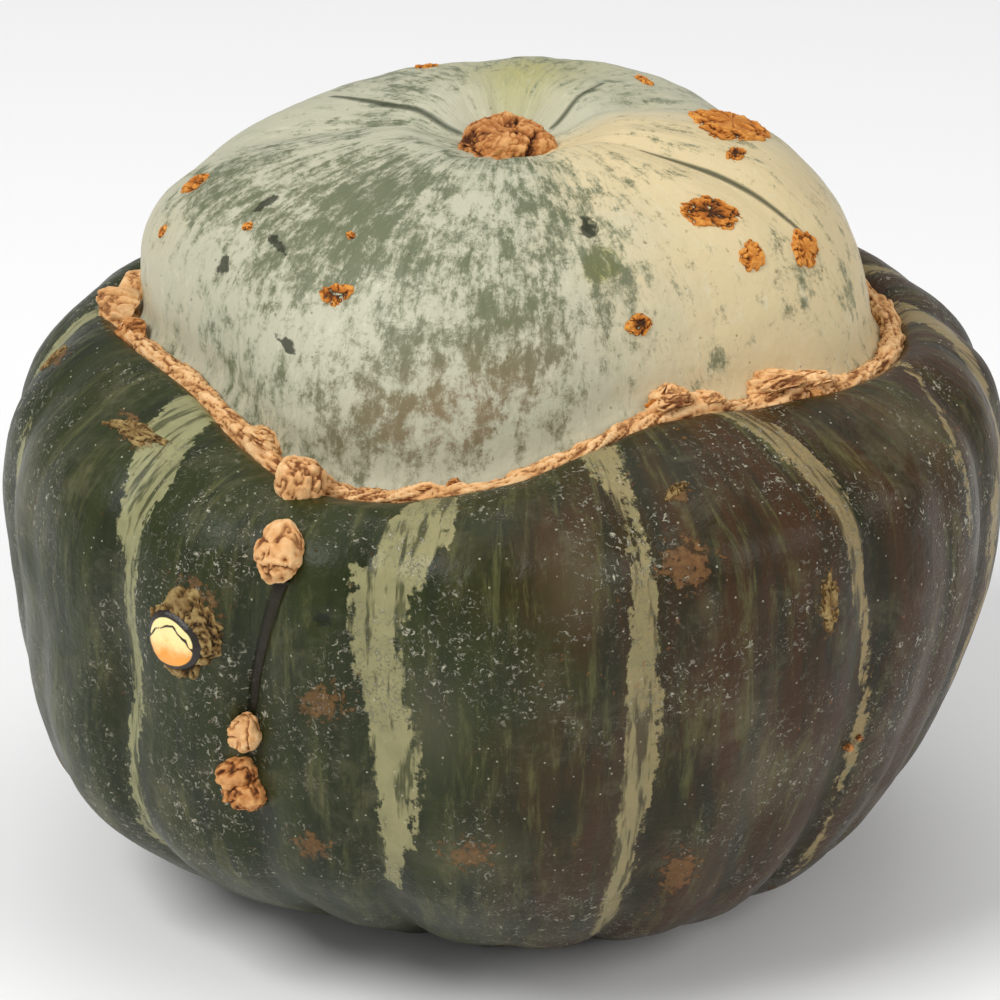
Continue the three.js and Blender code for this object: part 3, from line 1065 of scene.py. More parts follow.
# Azimuth, distance, half-width and half-length of each patch.
DARK_SPOTS: Pairs = (
    (-20, 157, 1.5, 1.5), (24, 238, 2, 3), (-54, 233, 4, 1), (-40, 220, 3, 1), (-63, 223, 1.5, 2),
    (-66, 238, 1, 3),
)
RUST_SPOTS: Pairs = (
    (37, 153, 2, 5), (20, 166, 4, 4), (-20, 141, 4, 3), (-22, 111, 3, 3), (22, 100, 3, 6), (52, 74, 3, 2),
    (-36, 154, 5, 5), (-4, 113, 4, 3), (46, 117, 1, 1), (-69, 100, 2, 3), (-56, 181, 6, 2),
    (-86, 180, 3, 2), (22, 178, 2, 1), (-140, 150, 4, 3), (140, 130, 3, 4), (-170, 176, 4, 2),
    (100, 130, 2, 4),
)
BLOOM_PATCHES: Pairs = (
    (-4, 112, 14, 10), (-8, 140, 9, 14), (22, 158, 3, 4), (8, 165, 9, 12), (62, 176, 12, 16),
    (80, 150, 9, 26), (-70, 160, 12, 14), (-60, 95, 14, 12), (30, 120, 9, 14), (-160, 140, 20, 20),
    (130, 170, 16, 14),
)


def patches(form: FruitForm, table: Pairs, azimuth: Array, distance: Array, spread: float) -> Array:
    """Signed distance into the nearest of a list of oval patches.

    Args:
        form: The fruit's form.
        table: Azimuth, distance, half-width and half-length of each patch.
        azimuth: Angles, any shape.
        distance: Distances along the meridian, the same shape.
        spread: Millimetres that the value falls by over a patch's own half-size.

    Returns:
        spread * (1 - oval radius), the largest over the patches, and no lower than -spread.
    """
    best = np.full(np.shape(azimuth), -spread)
    for side, along, half_width, half_length in table:
        scale = form.degrees_per_mm(side, along)
        oval = np.hypot(wrapped(azimuth - side) / (scale * half_width), (distance - along) / half_length)
        best = np.maximum(best, spread * (1.0 - oval))
    return best


@dataclass
class Skin:
    """The whole outer skin of the fruit: one closed surface, dressed by attributes."""

    form: FruitForm
    columns: int = 420
    rows: int = 222
    grain_radius: float = 0.072
    body_squeeze: float = 0.13
    button_squeeze: float = 0.55
    pits: Pairs = (
        (-20, 157, 1.7, -1.3), (-18, 142, 1.0, -0.5), (-22, 139, 1.2, -0.6), (21, 164, 1.2, -0.5),
        (37, 150, 1.3, -0.5), (24, 238, 1.8, -0.5), (-8, 133, 1.0, -0.4), (48, 131, 1.0, -0.4),
    )

    def pitted(self, azimuth: Array, distance: Array) -> Array:
        """Lift of pits, each a bell minus a raised ring, and of the sunken groove under the beads.

        Args:
            azimuth: Angles, any shape.
            distance: Distances along the meridian, the same shape.

        Returns:
            Millimetres outward.
        """
        total = np.zeros(np.shape(azimuth))
        for side, along, radius, depth in self.pits:
            scale = self.form.degrees_per_mm(side, along)
            away = np.hypot(wrapped(azimuth - side) / scale, distance - along) / radius
            total = total + depth * np.exp(-(away**2)) - 0.45 * depth * np.exp(-(((away - 1.7) / 0.45) ** 2))
        offset, half = SEAMS_AND_GROOVE_SHADE[3].offset(self.form, azimuth, distance)
        return total - 1.1 * np.clip(half * 2, 0, 1) * np.exp(-((offset / 2.0) ** 2))

    def build(self, finishes: Finishes) -> bpy.types.Object:
        """Builds and dresses the skin.

        Args:
            finishes: The materials.

        Returns:
            The skin piece.
        """
        form = self.form
        span = form.knots[-1]
        rings = np.linspace(0.0, span, self.rows + 2)[1:-1]
        turn = np.arange(self.columns) * 360.0 / self.columns - 180.0
        azimuth, distance = np.broadcast_arrays(turn[None, :], rings[:, None])
        points = form.skin(azimuth, distance, self.pitted(azimuth, distance))
        bottom = form.skin(np.zeros(1), np.zeros(1))[0]
        top = form.skin(np.zeros(1), np.full(1, span))[0]
        data = {
            key: with_poles(values[0].mean(axis=0), values, values[-1].mean(axis=0))
            for key, values in self.attributes(azimuth, distance).items()
        }
        piece = capped_body("squash_skin", bottom, points, top, data)
        dress(piece, finishes.rind, "squash_fruit")
        return piece

    def attributes(self, azimuth: Array, distance: Array) -> dict[str, Array]:
        """Values that the rind reads, for every vertex.

        Args:
            azimuth: Angles, any shape.
            distance: Distances along the meridian, the same shape.

        Returns:
            Arrays by attribute name: distances in millimetres, or shares of 0 to 1.
        """
        form = self.form
        angle = np.radians(azimuth)
        button = distance - form.ring_distance
        squeeze = np.where(button > 0, self.button_squeeze, self.body_squeeze)
        radius = self.grain_radius
        along = button * squeeze * MM
        grain = np.stack([radius * np.sin(angle), -radius * np.cos(angle), along], axis=-1)
        stripe = np.full(np.shape(azimuth), -8.0)
        for marking in STRIPES:
            offset, half = marking.offset(form, azimuth, distance)
            stripe = np.maximum(stripe, 1.1 * half - np.abs(offset))
        # Nearest dark line: a seam on the button, painted shade down the groove under the beads.
        seam_offset = np.full(np.shape(azimuth), 50.0)
        seam_half = np.full(np.shape(azimuth), -5.0)
        for marking in SEAMS_AND_GROOVE_SHADE:
            offset, half = marking.offset(form, azimuth, distance)
            near = (np.abs(offset) < 5.0) & (half > -1.0)
            seam_offset = np.where(near, offset, seam_offset)
            seam_half = np.where(near, half, seam_half)
        warmth = smooth_step(np.sin(np.radians(azimuth - 5)), -0.75, 0.75)
        umber = bell(wrapped(azimuth + 8), 0, 22) * bell(distance, 212, 12)
        mottle = (
            1.3 * bell(wrapped(azimuth + 45), 0, 45) * bell(distance, 243, 24)
            + 0.6 * umber
            + 0.5 * bell(wrapped(azimuth - 20), 0, 22) * bell(distance, 236, 22)
            + 0.5 * bell(wrapped(azimuth + 150), 0, 40) * bell(distance, 262, 12)
            - 0.2 * bell(wrapped(azimuth + 92), 0, 24) * bell(distance, 210, 14)
        )
        cream = bell(wrapped(azimuth - 66), 0, 45)
        cream = cream + 0.4 * bell(wrapped(azimuth + 90), 0, 26) * bell(distance, 214, 18)
        olive = bell(wrapped(azimuth - 172), 0, 24) * bell(distance, 262, 18)
        disc = patches(form, ((23, 229, 4, 4),), azimuth, distance, 3.0)
        olive = np.maximum(olive, smooth_step(disc, -0.3, 0.5))
        mottle = mottle + 0.8 * smooth_step(disc, -0.6, 0.8)
        # How deep each place lies in a rib groove, 0 to 1, which the rind darkens as painted shade.
        low = form.rib_rise - form.relief(azimuth, distance)
        cavity = smooth_step(np.where(button < 0, low, 0.0), 1.6, 5.4)
        return {
            "cavity": cavity,
            "grain": grain,
            "button": button,
            "warmth": warmth,
            "stripe": stripe,
            "seam_offset": seam_offset,
            "seam_half": seam_half,
            "umber": umber,
            "mottle": mottle,
            "cream": cream,
            "olive": olive,
            "dark": patches(form, DARK_SPOTS, azimuth, distance, 2.0),
            "rust": patches(form, RUST_SPOTS, azimuth, distance, 3.0),
            "bloom": np.clip(patches(form, BLOOM_PATCHES, azimuth, distance, 1.0), 0, 1),
        }


@dataclass
class CorkRing:
    """The rope of cork in the crease between the body and the button."""

    form: FruitForm
    steps: int = 1900
    section: int = 40
    radius: float = 1.75
    wide: float = 1.18
    # Azimuth, extra radius and half-length in degrees of each swelling.
    swellings: Pairs = (
        (-103, 1.9, 5), (-84, 0.7, 3), (-66, 0.4, 5), (-42, 1.3, 4.0), (-30, 0.8, 3), (-12, 0.6, 2.4),
        (-7, 0.5, 1.6), (25, 0.5, 2.0), (33, 2.0, 3.6), (38, 1.1, 2.4), (53, 1.9, 4.0), (60, 1.0, 2.4),
        (84, 0.7, 7), (98, 0.8, 6), (125, 0.9, 4), (150, 1.2, 5), (174, 0.5, 3), (-158, 1.0, 4),
        (-130, 0.8, 5),
    )

    def build(self, finishes: Finishes) -> bpy.types.Object:
        """Builds and dresses the ring.

        The centre line follows the crease with a small wander, the section is a circle whose radius
        swells at the knots, and lengthwise wrinkles and folds cut into it.

        Args:
            finishes: The materials.

        Returns:
            The ring piece, a closed band.
        """
        form = self.form
        turn = np.arange(self.steps) * 360.0 / self.steps - 180.0
        angle = np.radians(turn)
        loop = np.stack([np.sin(angle) * 11.0, np.cos(angle) * 11.0, np.zeros(self.steps)], axis=-1)
        swell = sum(size * bell(wrapped(turn - side), 0, half) for side, size, half in self.swellings)
        thickness = self.radius * (0.82 + 0.5 * layered_noise(loop * 2.2, 21, 3)) + 0.85 * swell
        wander = (layered_noise(loop * 0.9, 25, 3) - 0.5) * 2.4
        middle = form.skin(turn, form.ring_distance + 0.3 + wander, 0.25 + 0.35 * thickness)
        ahead = np.roll(middle, -1, axis=0) - np.roll(middle, 1, axis=0)
        ahead /= np.linalg.norm(ahead, axis=1, keepdims=True)
        outward = np.stack([np.sin(angle), -np.cos(angle), np.ones(self.steps)], axis=-1)
        outward -= (outward * ahead).sum(axis=1, keepdims=True) * ahead
        outward /= np.linalg.norm(outward, axis=1, keepdims=True)
        across = np.cross(ahead, outward)
        round_angle = np.arange(self.section) * 2 * math.pi / self.section
        spin = round_angle[None, :] + 0.6 * np.sin(angle * 9)[:, None]
        field_points = np.stack(
            [
                np.repeat(loop[:, :1] * 1.15, self.section, axis=1) + 0.9 * np.cos(spin) * 1.5,
                np.repeat(loop[:, 1:2] * 1.15, self.section, axis=1) + 0.9 * np.sin(spin) * 1.5,
                1.5 * np.sin(spin),
            ],
            axis=-1,
        )
        strands = np.abs(np.sin(2.5 * spin + 3.2 * layered_noise(field_points * 0.8, 31, 3) * math.pi))
        wrinkle = 1.0 - strands
        fold = fold_lines(field_points * 1.5, 35, 0.055)
        lumps = layered_noise(field_points * 0.9, 38, 3) - 0.5
        puff = np.clip(swell, 0, 2)[:, None]
        local = thickness[:, None] * (1 + 0.5 * lumps) - 0.42 * wrinkle**3 - (0.42 + 0.25 * puff) * fold
        local += 0.12 * (lattice_noise(field_points * 9.0, 39) - 0.5)
        points = (
            middle[:, None, :]
            + (local * np.cos(round_angle) * self.wide)[..., None] * across[:, None, :]
            + (local * np.sin(round_angle))[..., None] * outward[:, None, :]
        )
        quads = closed_grid_faces(self.steps + 1, self.section) % (self.steps * self.section)
        # Fold value for the cork colour: darkest in the wrinkles, the folds and the low lumps, painted shade
        # over the cork's own colour.
        crease = np.clip(0.75 * wrinkle**2 + 0.9 * fold + 0.3 * (0.5 - lumps), 0, 1)
        none = np.zeros((0, 3), dtype=int)
        piece = mesh_object("cork_ring", points.reshape(-1, 3), quads, none, {"fold": crease.ravel()})
        dress(piece, finishes.cork[CorkTone.PALE])
        return piece


@dataclass
class CorkBody:
    """A lump or scab of cork on the skin: a closed body that follows the skin under it."""

    name: str
    azimuth: float
    distance: float
    width: float
    length: float
    rise: float
    tone: CorkTone = CorkTone.RUDDY
    sink: float = 0.7
    turned: float = 0.0
    flatness: float = 0.5
    fold_size: float = 2.6
    fold_depth: float = 0.5
    rag: float = 0.3
    hollow: float = 0.0
    steps: tuple[int, int] = (46, 84)
    seed: int = 1

    def build(self, form: FruitForm, material: bpy.types.Material) -> bpy.types.Object:
        """Builds and dresses the lump.

        A point at polar angle t and turn p lies sin(t)^flatness of the half-size away from the middle,
        with a ragged outline, and cos(t) * rise over the skin, or cos(t) * sink under it. Folds cut in.

        Args:
            form: The fruit's form.
            material: Its finish.

        Returns:
            The piece.
        """
        points, fold = self.surface(form, *polar_grid(*self.steps))
        ends, end_fold = self.surface(form, np.array([math.pi, 0.0]), np.zeros(2))
        data = {"fold": with_poles(end_fold[0], fold, end_fold[1])}
        piece = capped_body(self.name, ends[0], points, ends[1], data)
        dress(piece, material)
        return piece

    def surface(self, form: FruitForm, tilt: Array, turn: Array) -> tuple[Array, Array]:
        """Points and fold values at polar angles and turns.

        Args:
            form: The fruit's form.
            tilt: Polar angle from the top, any shape.
            turn: Angle round the lump, the same shape.

        Returns:
            Points of shape (..., 3), and folds of 0 to 1.
        """
        level = np.full(np.shape(turn), self.seed * 3.7)
        outline = np.stack([np.cos(turn) * 1.6, np.sin(turn) * 1.6, level], axis=-1)
        ragged = 1 + self.rag * 2 * (layered_noise(outline, self.seed + 60, 3) - 0.5)
        reach = np.sin(tilt) ** self.flatness * ragged
        side = reach * np.cos(turn) * self.width / 2
        along = reach * np.sin(turn) * self.length / 2
        height = np.cos(tilt)
        lift = np.where(height > 0, height * self.rise, height * self.sink)
        places = np.stack([side, along, lift], axis=-1)
        fold = fold_lines(places / self.fold_size, self.seed + 70)
        rough = layered_noise(places / (self.fold_size * 0.35), self.seed + 80, 3) - 0.5
        above = np.clip(height * 3, 0, 1)
        dip = self.hollow * np.exp(-((reach / 0.45) ** 2)) * above
        lift = lift + above * (self.fold_depth * 0.9 * rough - self.fold_depth * fold) - dip
        spread = 1 + 0.10 * rough - 0.10 * fold
        turned = math.radians(self.turned)
        across = (side * math.cos(turned) - along * math.sin(turned)) * spread
        up = (side * math.sin(turned) + along * math.cos(turned)) * spread
        scale = form.degrees_per_mm(self.azimuth, self.distance)
        points = form.skin(self.azimuth + across * scale, self.distance + up, lift)
        # Painted shade: the fold value, which darkens the cork, grows in the folds, in the low places and in
        # the hollow's dip.
        dark = 0.8 * dip / max(self.hollow, 0.01) if self.hollow else 0
        depth = np.clip(fold + 0.5 * (0.5 - rough) + dark, 0, 1)
        return points, depth


# Knots on the ring, beads down the groove, and the knot at the ring's left end.
KNOTS_AND_BEADS = (
    CorkBody("groove_bead_1", -29, 190, 9.2, 10.2, 6.0, CorkTone.PALE, fold_size=4.0, fold_depth=0.7,
             rag=0.15, seed=3),
    CorkBody("groove_bead_2", -26, 169, 10.2, 13.2, 4.8, CorkTone.PALE, fold_size=4.6, fold_depth=0.9,
             rag=0.14, seed=7),
    CorkBody("groove_bead_3", -30, 132, 6.0, 6.8, 3.6, CorkTone.PALE, fold_size=3.4, seed=11),
    CorkBody("groove_bead_4a", -31, 124, 7.2, 6.8, 4.0, fold_size=2.8, seed=12),
    CorkBody("groove_bead_4b", -30, 120, 8.6, 6.8, 4.2, fold_size=3.0, seed=13),
    CorkBody("ring_knot_left", -93, 196, 10.0, 10.0, 7.0, CorkTone.PALE, fold_size=3.0, fold_depth=0.8,
             seed=15),
    CorkBody("ring_knot_left_low", -84, 196, 7.4, 6.4, 5.2, CorkTone.RUDDY, fold_size=2.4, seed=17),
    CorkBody("ring_knot_middle", -41, 200, 8.4, 6.6, 4.8, CorkTone.PALE, fold_size=2.6, seed=19),
    CorkBody("ring_knot_front", -12, 199, 3.8, 3.4, 3.6, fold_size=1.6, fold_depth=0.3, seed=21),
    CorkBody("ring_knot_front_small", -8, 200, 2.8, 2.6, 2.4, fold_size=1.4, fold_depth=0.3, seed=23),
    CorkBody("ring_knot_right_1", 31, 201, 8.4, 8.0, 6.4, CorkTone.PALE, fold_size=2.2, seed=25,
             hollow=0.4),
    CorkBody("ring_knot_right_2", 38, 200, 6.6, 6.0, 5.2, CorkTone.PALE, fold_size=2.2, seed=27),
    CorkBody("ring_knot_right_3", 52, 201, 8.4, 8.0, 6.6, CorkTone.PALE, fold_size=2.2, seed=29,
             hollow=0.4),
    CorkBody("ring_knot_right_4", 58, 200, 6.6, 6.4, 5.0, CorkTone.PALE, fold_size=2.0, seed=31),
    CorkBody("ring_wart_right", 56, 194, 2.6, 2.4, 1.8, fold_size=1.2, fold_depth=0.2, seed=33),
    CorkBody("shoulder_wart_1", 46, 117, 1.7, 1.7, 1.1, fold_size=1.0, fold_depth=0.15, seed=35),
    CorkBody("shoulder_wart_2", 47, 119, 1.3, 1.3, 0.9, fold_size=1.0, fold_depth=0.12, seed=36),
)
# Scabs on the skin: the wound's rough edge, scratches, and the healed cracks on the button.
SCABS = (
    CorkBody("wound_rim", -37, 149, 16.5, 17.0, 1.1, CorkTone.BARK, flatness=0.4, fold_size=1.8, rag=0.35,
             fold_depth=0.55, seed=41, steps=(56, 110)),
    CorkBody("scratch_left", -56, 181, 16.0, 4.6, 0.45, CorkTone.BARK, flatness=0.3, turned=14,
             fold_size=1.5, rag=0.8, fold_depth=0.55, seed=43, steps=(50, 100)),
    CorkBody("scratch_far_left", -88, 178, 5.0, 8.4, 0.4, CorkTone.BARK, flatness=0.3, fold_size=1.5,
             rag=0.7, fold_depth=0.5, seed=45),
    CorkBody("scratch_shoulder", 22, 179, 5.2, 1.9, 0.4, CorkTone.BARK, flatness=0.35, turned=10,
             fold_size=1.0, rag=0.6, fold_depth=0.4, seed=47),
    CorkBody("scab_right", 37, 153, 4.6, 9.5, 0.35, CorkTone.BARK, flatness=0.3, fold_size=1.3, rag=0.75,
             fold_depth=0.5, seed=49),
    CorkBody("button_scar_back", 101, 248, 25.0, 13.0, 0.8, CorkTone.SCAB, flatness=0.3, turned=-24,
             fold_size=2.2, rag=0.6, fold_depth=0.7, seed=51, steps=(56, 110)),
    CorkBody("button_scar_back_low", 79, 247, 5.6, 3.6, 0.6, CorkTone.SCAB, flatness=0.35, turned=-15,
             fold_size=1.5, rag=0.4, hollow=0.35, seed=53),
    CorkBody("button_scar_large", 55, 236, 9.4, 8.8, 0.7, CorkTone.SCAB, flatness=0.35, fold_size=1.6,
             rag=0.45, fold_depth=0.6, hollow=0.5, seed=55, steps=(56, 110)),
    CorkBody("button_scar_tail", 56, 225, 4.2, 7.0, 0.5, CorkTone.SCAB, flatness=0.35, turned=-20,
             fold_size=1.3, rag=0.5, seed=57),
    CorkBody("button_scar_right", 68, 224, 6.4, 7.6, 0.6, CorkTone.SCAB, flatness=0.35, turned=-20,
             fold_size=1.6, rag=0.5, seed=59),
    CorkBody("button_scar_front", 28, 216, 5.6, 4.6, 0.6, CorkTone.SCAB, flatness=0.35, fold_size=1.4,
             rag=0.35, hollow=0.4, seed=61),
    CorkBody("button_scar_left", -34, 233, 6.8, 3.6, 0.5, CorkTone.SCAB, flatness=0.35, turned=14,
             fold_size=1.3, rag=0.4, hollow=0.3, seed=63),
    CorkBody("button_scar_small", -38, 243, 2.4, 1.6, 0.35, CorkTone.SCAB, flatness=0.4, fold_size=0.9,
             rag=0.4, fold_depth=0.2, seed=65, steps=(26, 48)),
    CorkBody("button_scar_edge", -89, 234, 6.0, 7.0, 0.6, CorkTone.SCAB, flatness=0.35, turned=20,
             fold_size=1.6, rag=0.45, seed=67),
    CorkBody("button_scar_edge_low", -84, 222, 2.4, 3.4, 0.4, CorkTone.SCAB, flatness=0.4, fold_size=1.0,
             rag=0.4, fold_depth=0.25, seed=69, steps=(26, 48)),
    CorkBody("button_scar_upper_left", -64, 232, 2.4, 2.2, 0.4, CorkTone.SCAB, flatness=0.4, fold_size=1.0,
             rag=0.4, fold_depth=0.25, seed=71, steps=(26, 48)),
    CorkBody("button_scar_crest_left", -157, 250, 5.0, 2.4, 0.6, CorkTone.SCAB, flatness=0.4, fold_size=1.2,
             rag=0.4, seed=73),
    CorkBody("button_scar_crest_right", 138, 249, 4.4, 2.6, 0.6, CorkTone.SCAB, flatness=0.4, fold_size=1.2,
             rag=0.4, seed=75),
    CorkBody("back_scab", -150, 150, 6.0, 9.0, 0.4, CorkTone.BARK, flatness=0.35, fold_size=1.5, rag=0.6,
             seed=77),
)


@dataclass
class BlossomScar:
    """The crumpled cork nub in the dimple of the button."""

    form: FruitForm
    radius: float = 9.5
    height: float = 6.0
    rows: int = 150
    columns: int = 260

    def build(self, finishes: Finishes) -> bpy.types.Object:
        """Builds and dresses the nub.

        A low cushion, sin(t)^0.6 * radius across and cos(t) * height high, puffed into lobes, with
        winding folds, and a small pit in the middle.

        Args:
            finishes: The materials.

        Returns:
            The nub piece.
        """
        points, fold = self.surface(*polar_grid(self.rows, self.columns))
        ends, end_fold = self.surface(np.array([math.pi, 0.0]), np.zeros(2))
        data = {"fold": with_poles(end_fold[0], fold, end_fold[1])}
        piece = capped_body("blossom_scar", ends[0], points, ends[1], data)
        dress(piece, finishes.cork[CorkTone.RUDDY])
        return piece

    def surface(self, tilt: Array, turn: Array) -> tuple[Array, Array]:
        """Points and folds at polar angles and turns.

        Args:
            tilt: Polar angle from the top, any shape.
            turn: Angle round the nub, the same shape.

        Returns:
            Points of shape (..., 3), and folds of 0 to 1.
        """
        seat = self.form.skin(np.zeros(1), self.form.knots[-1:])[0]
        lobes = 1 + 0.07 * np.cos(3 * turn + 0.6) + 0.05 * np.cos(7 * turn + 2.0)
        reach = np.sin(tilt) ** 0.62 * lobes
        rise = np.cos(tilt)
        places = np.stack([reach * np.cos(turn) * 8, reach * np.sin(turn) * 8, rise * 5], axis=-1)
        fold = fold_lines(places / 3.3, 91, 0.05)
        small = fold_lines(places / 1.5, 95, 0.06)
        puff = layered_noise(places / 3.0, 97, 3) - 0.5
        crumple = 2.2 * puff - 1.5 * fold - 0.35 * small
        pit = 1.5 * np.exp(-((reach / 0.22) ** 2)) * (rise > 0)
        out = reach * self.radius + 0.8 * crumple * np.sin(tilt)
        up = np.where(rise > 0, rise * self.height, rise * 1.6) + crumple * np.clip(rise, 0, 1) - pit
        points = np.stack([out * np.cos(turn), out * np.sin(turn), up], axis=-1) + seat
        # The fold value darkens the folds and the low places between the puffs, painted shade over the cork's
        # own colour.
        return points, np.clip(0.85 * fold + 0.5 * small + 0.6 * (0.35 - puff), 0, 1)


@dataclass
class Wound:
    """The open wound on the left: a dome of dried sap inside its rough rim."""

    form: FruitForm
    azimuth: float = -38.0
    distance: float = 148.0
    radius: float = 5.8
    rise: float = 2.4
    steps: tuple[int, int] = (60, 110)

    def build(self, finishes: Finishes) -> bpy.types.Object:
        """Builds and dresses the dome of sap, with a crack along its upper edge painted as a dark line of
        shade.

        Args:
            finishes: The materials.

        Returns:
            The piece.
        """
        points, fold, upward = self.surface(*polar_grid(*self.steps))
        ends, end_fold, end_up = self.surface(np.array([math.pi, 0.0]), np.zeros(2))
        data = {
            "fold": with_poles(end_fold[0], fold, end_fold[1]),
            "upward": with_poles(end_up[0], upward, end_up[1]),
        }
        piece = capped_body("wound_sap", ends[0], points, ends[1], data)
        dress(piece, finishes.resin)
        return piece

    def surface(self, tilt: Array, turn: Array) -> tuple[Array, Array, Array]:
        """Points, dark edge and upward share at polar angles and turns.

        Args:
            tilt: Polar angle from the top, any shape.
            turn: Angle round the dome, the same shape.

        Returns:
            Points of shape (..., 3), painted shade of 0 to 1 round the edge and in the crack, and -1 low to 1
            high on the dome.
        """
        outline = 1 + 0.05 * np.cos(2 * turn + 0.5) + 0.05 * np.cos(3 * turn)
        reach = np.sin(tilt) ** 0.75
        across = reach * np.cos(turn) * outline * self.radius
        up = reach * np.sin(turn) * outline * self.radius
        high = np.clip(np.cos(tilt), 0, 1)
        places = np.stack([across / 2.4, up / 2.4, np.zeros(np.shape(tilt))], axis=-1)
        uneven = layered_noise(places, 101, 3) - 0.5
        step = smooth_step(up + 0.8 * uneven, 0.2, 1.0) - 0.5
        lift = np.where(np.cos(tilt) > 0, 0.9 * high**0.6 * self.rise, np.cos(tilt) * 1.2)
        lift = lift + 0.5 * uneven * high
        lift = lift - 0.25 * step * high
        scale = self.form.degrees_per_mm(self.azimuth, self.distance)
        points = self.form.skin(self.azimuth + across * scale, self.distance + up, lift)
        # Painted shade: a dark line for the crack, and darkening round the dome's edge where it meets the
        # rim.
        crack = np.exp(-(((up - 3.0 + 0.12 * across**2 + 1.5 * uneven) / 0.25) ** 2))
        edge = smooth_step(reach, 0.74, 0.84)
        return points, np.clip(edge + 0.9 * crack * (np.cos(tilt) > 0), 0, 1), up / self.radius


@dataclass
class Thorn:
    """A dry sliver of cork that stands out of the ring."""

    form: FruitForm

    def build(self, finishes: Finishes) -> bpy.types.Object:
        """Builds and dresses the sliver, a bent cone with a flat section.

        Args:
            finishes: The materials.

        Returns:
            The piece.
        """
        rows, columns = 30, 14
        share, turn = rising_grid(rows, columns)
        foot = self.form.skin(np.array([26.5]), np.array([201.5]), 1.0)[0]
        reach = np.array([3.6, -1.0, 4.6])
        side = np.array([0.8, 0.3, -0.55])
        front = np.array([0.25, -0.95, -0.2])
        middle = foot + share[..., None] * reach + (0.8 * np.sin(share * 3.0))[..., None] * side
        thick = 0.55 * (1 - share) ** 0.7 + 0.04
        across = (thick * np.cos(turn))[..., None] * side
        points = middle + across + (0.5 * thick * np.sin(turn))[..., None] * front
        fold = np.broadcast_to(0.4 + 0.5 * share, (rows, columns))
        data = {"fold": with_poles(np.array(0.4), fold, np.array(0.9))}
        piece = capped_body("ring_sliver", middle[0, 0] - 0.1 * reach, points, foot + 1.02 * reach, data)
        dress(piece, finishes.cork[CorkTone.SCAB])
        return piece


@dataclass
class Stem:
    """The corky stub of stem in the cavity under the base."""

    form: FruitForm
    seat: float = 11.7
    length: float = 9.0
    radius: float = 8.0
    tip_radius: float = 6.2
    ridges: int = 5
    steps: tuple[int, int] = (90, 240)

    def build(self, finishes: Finishes) -> bpy.types.Object:
        """Builds and dresses the stub.

        The radius runs from the tip to the flared seat, with five soft ridges, fine fibres and a torn
        cut face.

        Args:
            finishes: The materials.

        Returns:
            The stem piece.
        """
        share, turn = np.broadcast_arrays(*rising_grid(*self.steps))
        cap = np.minimum(smooth_step(share, 0.0, 0.2), smooth_step(1 - share, 0.0, 0.2)) ** 0.5
        level = smooth_step(share, 0.12, 0.88)
        flare = self.tip_radius + (self.radius - self.tip_radius) * level**2
        places = np.stack([np.cos(turn) * 5, np.sin(turn) * 5, level * 1.4], axis=-1)
        fibres = layered_noise(places * np.array([2.2, 2.2, 0.6]), 111, 3) - 0.5
        radius = cap * (flare + 0.55 * np.cos(self.ridges * turn) + 0.5 * fibres)
        face = np.stack([radius * np.cos(turn), radius * np.sin(turn), 0 * turn], -1)
        cut = layered_noise(face / 1.4, 115, 3) - 0.5
        height = self.seat - self.length + self.length * level + 0.7 * cut * (share < 0.15)
        height = height + 0.35 * (share < 0.15)
        points = np.stack([radius * np.sin(turn), -radius * np.cos(turn), height], axis=-1)
        points = points + np.array([self.form.axis[0], self.form.axis[1], 0.0])
        tip = points[0].mean(axis=0)
        seat = points[-1].mean(axis=0)
        fold = np.clip(0.5 - 1.4 * fibres + 0.3 * (share < 0.15), 0, 1)
        data = {"fold": with_poles(fold[0].mean(), fold, fold[-1].mean())}
        piece = capped_body("stem_stub_cork", tip, points, seat, data)
        dress(piece, finishes.cork[CorkTone.STEM], "stem_stub")
        return piece


# --------------------------------------------------------------------------------------------------
# Studio
# --------------------------------------------------------------------------------------------------


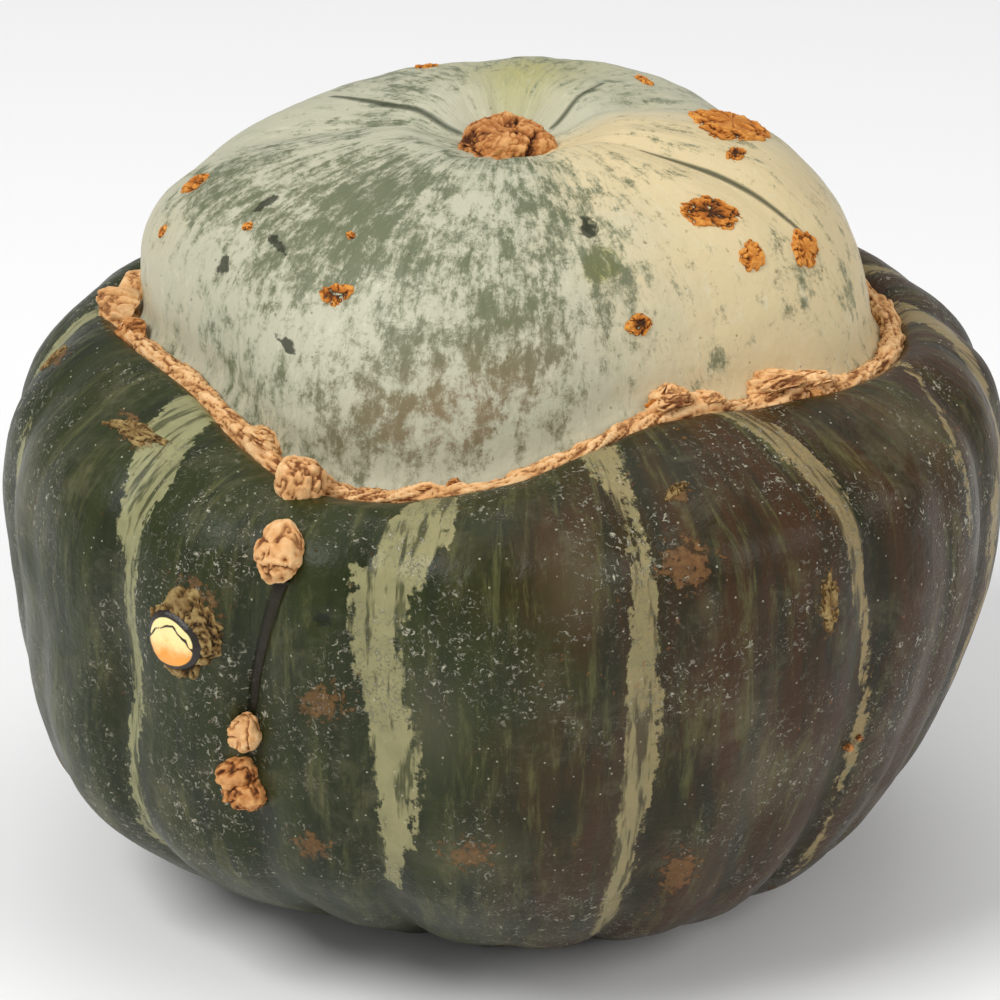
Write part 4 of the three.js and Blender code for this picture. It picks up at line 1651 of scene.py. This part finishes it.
@dataclass
class Studio:
    """A pale floor, soft lights and the camera."""

    elevation: float = 24.5
    camera_distance: float = 1.0
    frame_width: float = 0.1923
    aim: tuple[float, float, float] = (-0.001, 0.0, 0.072)

    def floor(self) -> None:
        """Lays a plain pale floor under the fruit."""
        mesh = bpy.data.meshes.new("floor")
        reach = 6.0
        corners = [(-reach, -reach, 0), (reach, -reach, 0), (reach, reach, 0), (-reach, reach, 0)]
        mesh.from_pydata(corners, [], [(0, 1, 2, 3)])
        ground = bpy.data.objects.new("floor", mesh)
        bpy.context.scene.collection.objects.link(ground)
        material, _, shader = new_material("floor_paper")
        shader.inputs["Base Color"].default_value = (0.93, 0.93, 0.93, 1)
        shader.inputs["Roughness"].default_value = 0.9
        mesh.materials.append(material)

    def lamp(self, name: str, place: tuple[float, float, float], size: float, power: float) -> None:
        """Adds a square soft light that faces the fruit.

        Args:
            name: Its name.
            place: Position in metres.
            size: Side of the square in metres.
            power: Watts.
        """
        light = bpy.data.lights.new(name, "AREA")
        light.size = size
        light.energy = power
        lamp = bpy.data.objects.new(name, light)
        lamp.location = place
        toward = -(np.array(place) - np.array([0, 0, 0.08]))
        lamp.rotation_euler = self.facing(toward)
        bpy.context.scene.collection.objects.link(lamp)

    @staticmethod
    def facing(toward: Array) -> tuple[float, float, float]:
        """Turn that points an object's -Z along a direction with its +Y upward."""
        x, y, z = toward / np.linalg.norm(toward)
        return math.acos(-z), 0.0, math.atan2(y, x) - math.pi / 2

    def build(self) -> None:
        """Sets up the floor, lights, sky and camera."""
        scene = bpy.context.scene
        scene.view_settings.view_transform = "Standard"
        self.floor()
        self.lamp("key_light", (-0.75, -0.6, 1.15), 0.6, 14.0)
        self.lamp("fill_light", (0.95, -0.6, 0.75), 0.7, 5.0)
        self.lamp("top_light", (0.1, 0.35, 1.3), 0.9, 3.5)
        world = bpy.data.worlds.new("studio_sky")
        world.use_nodes = True
        world.node_tree.nodes["Background"].inputs["Color"].default_value = (1, 1, 1, 1)
        world.node_tree.nodes["Background"].inputs["Strength"].default_value = 0.42
        scene.world = world
        camera = bpy.data.objects.new("camera", bpy.data.cameras.new("camera"))
        camera.data.sensor_width = 36.0
        camera.data.lens = 36.0 * self.camera_distance / self.frame_width
        camera.data.clip_start = 0.05
        camera.data.clip_end = 30.0
        rise = math.radians(self.elevation)
        back = np.array([0.0, -math.cos(rise), math.sin(rise)])
        camera.location = np.array(self.aim) + back * self.camera_distance
        camera.rotation_euler = self.facing(-back)
        scene.collection.objects.link(camera)
        scene.camera = camera


def main() -> None:
    """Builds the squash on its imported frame."""
    logging.basicConfig(level=logging.INFO, format="%(message)s")
    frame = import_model()
    LOG.info("frame loaded: %s", type(frame).__name__)
    Studio().build()
    form = FruitForm()
    finishes = Finishes.build()
    Skin(form).build(finishes)
    CorkRing(form).build(finishes)
    for body in (*KNOTS_AND_BEADS, *SCABS):
        body.build(form, finishes.cork[body.tone])
    BlossomScar(form).build(finishes)
    Wound(form).build(finishes)
    Thorn(form).build(finishes)
    Stem(form).build(finishes)


if __name__ == "__main__":
    main()
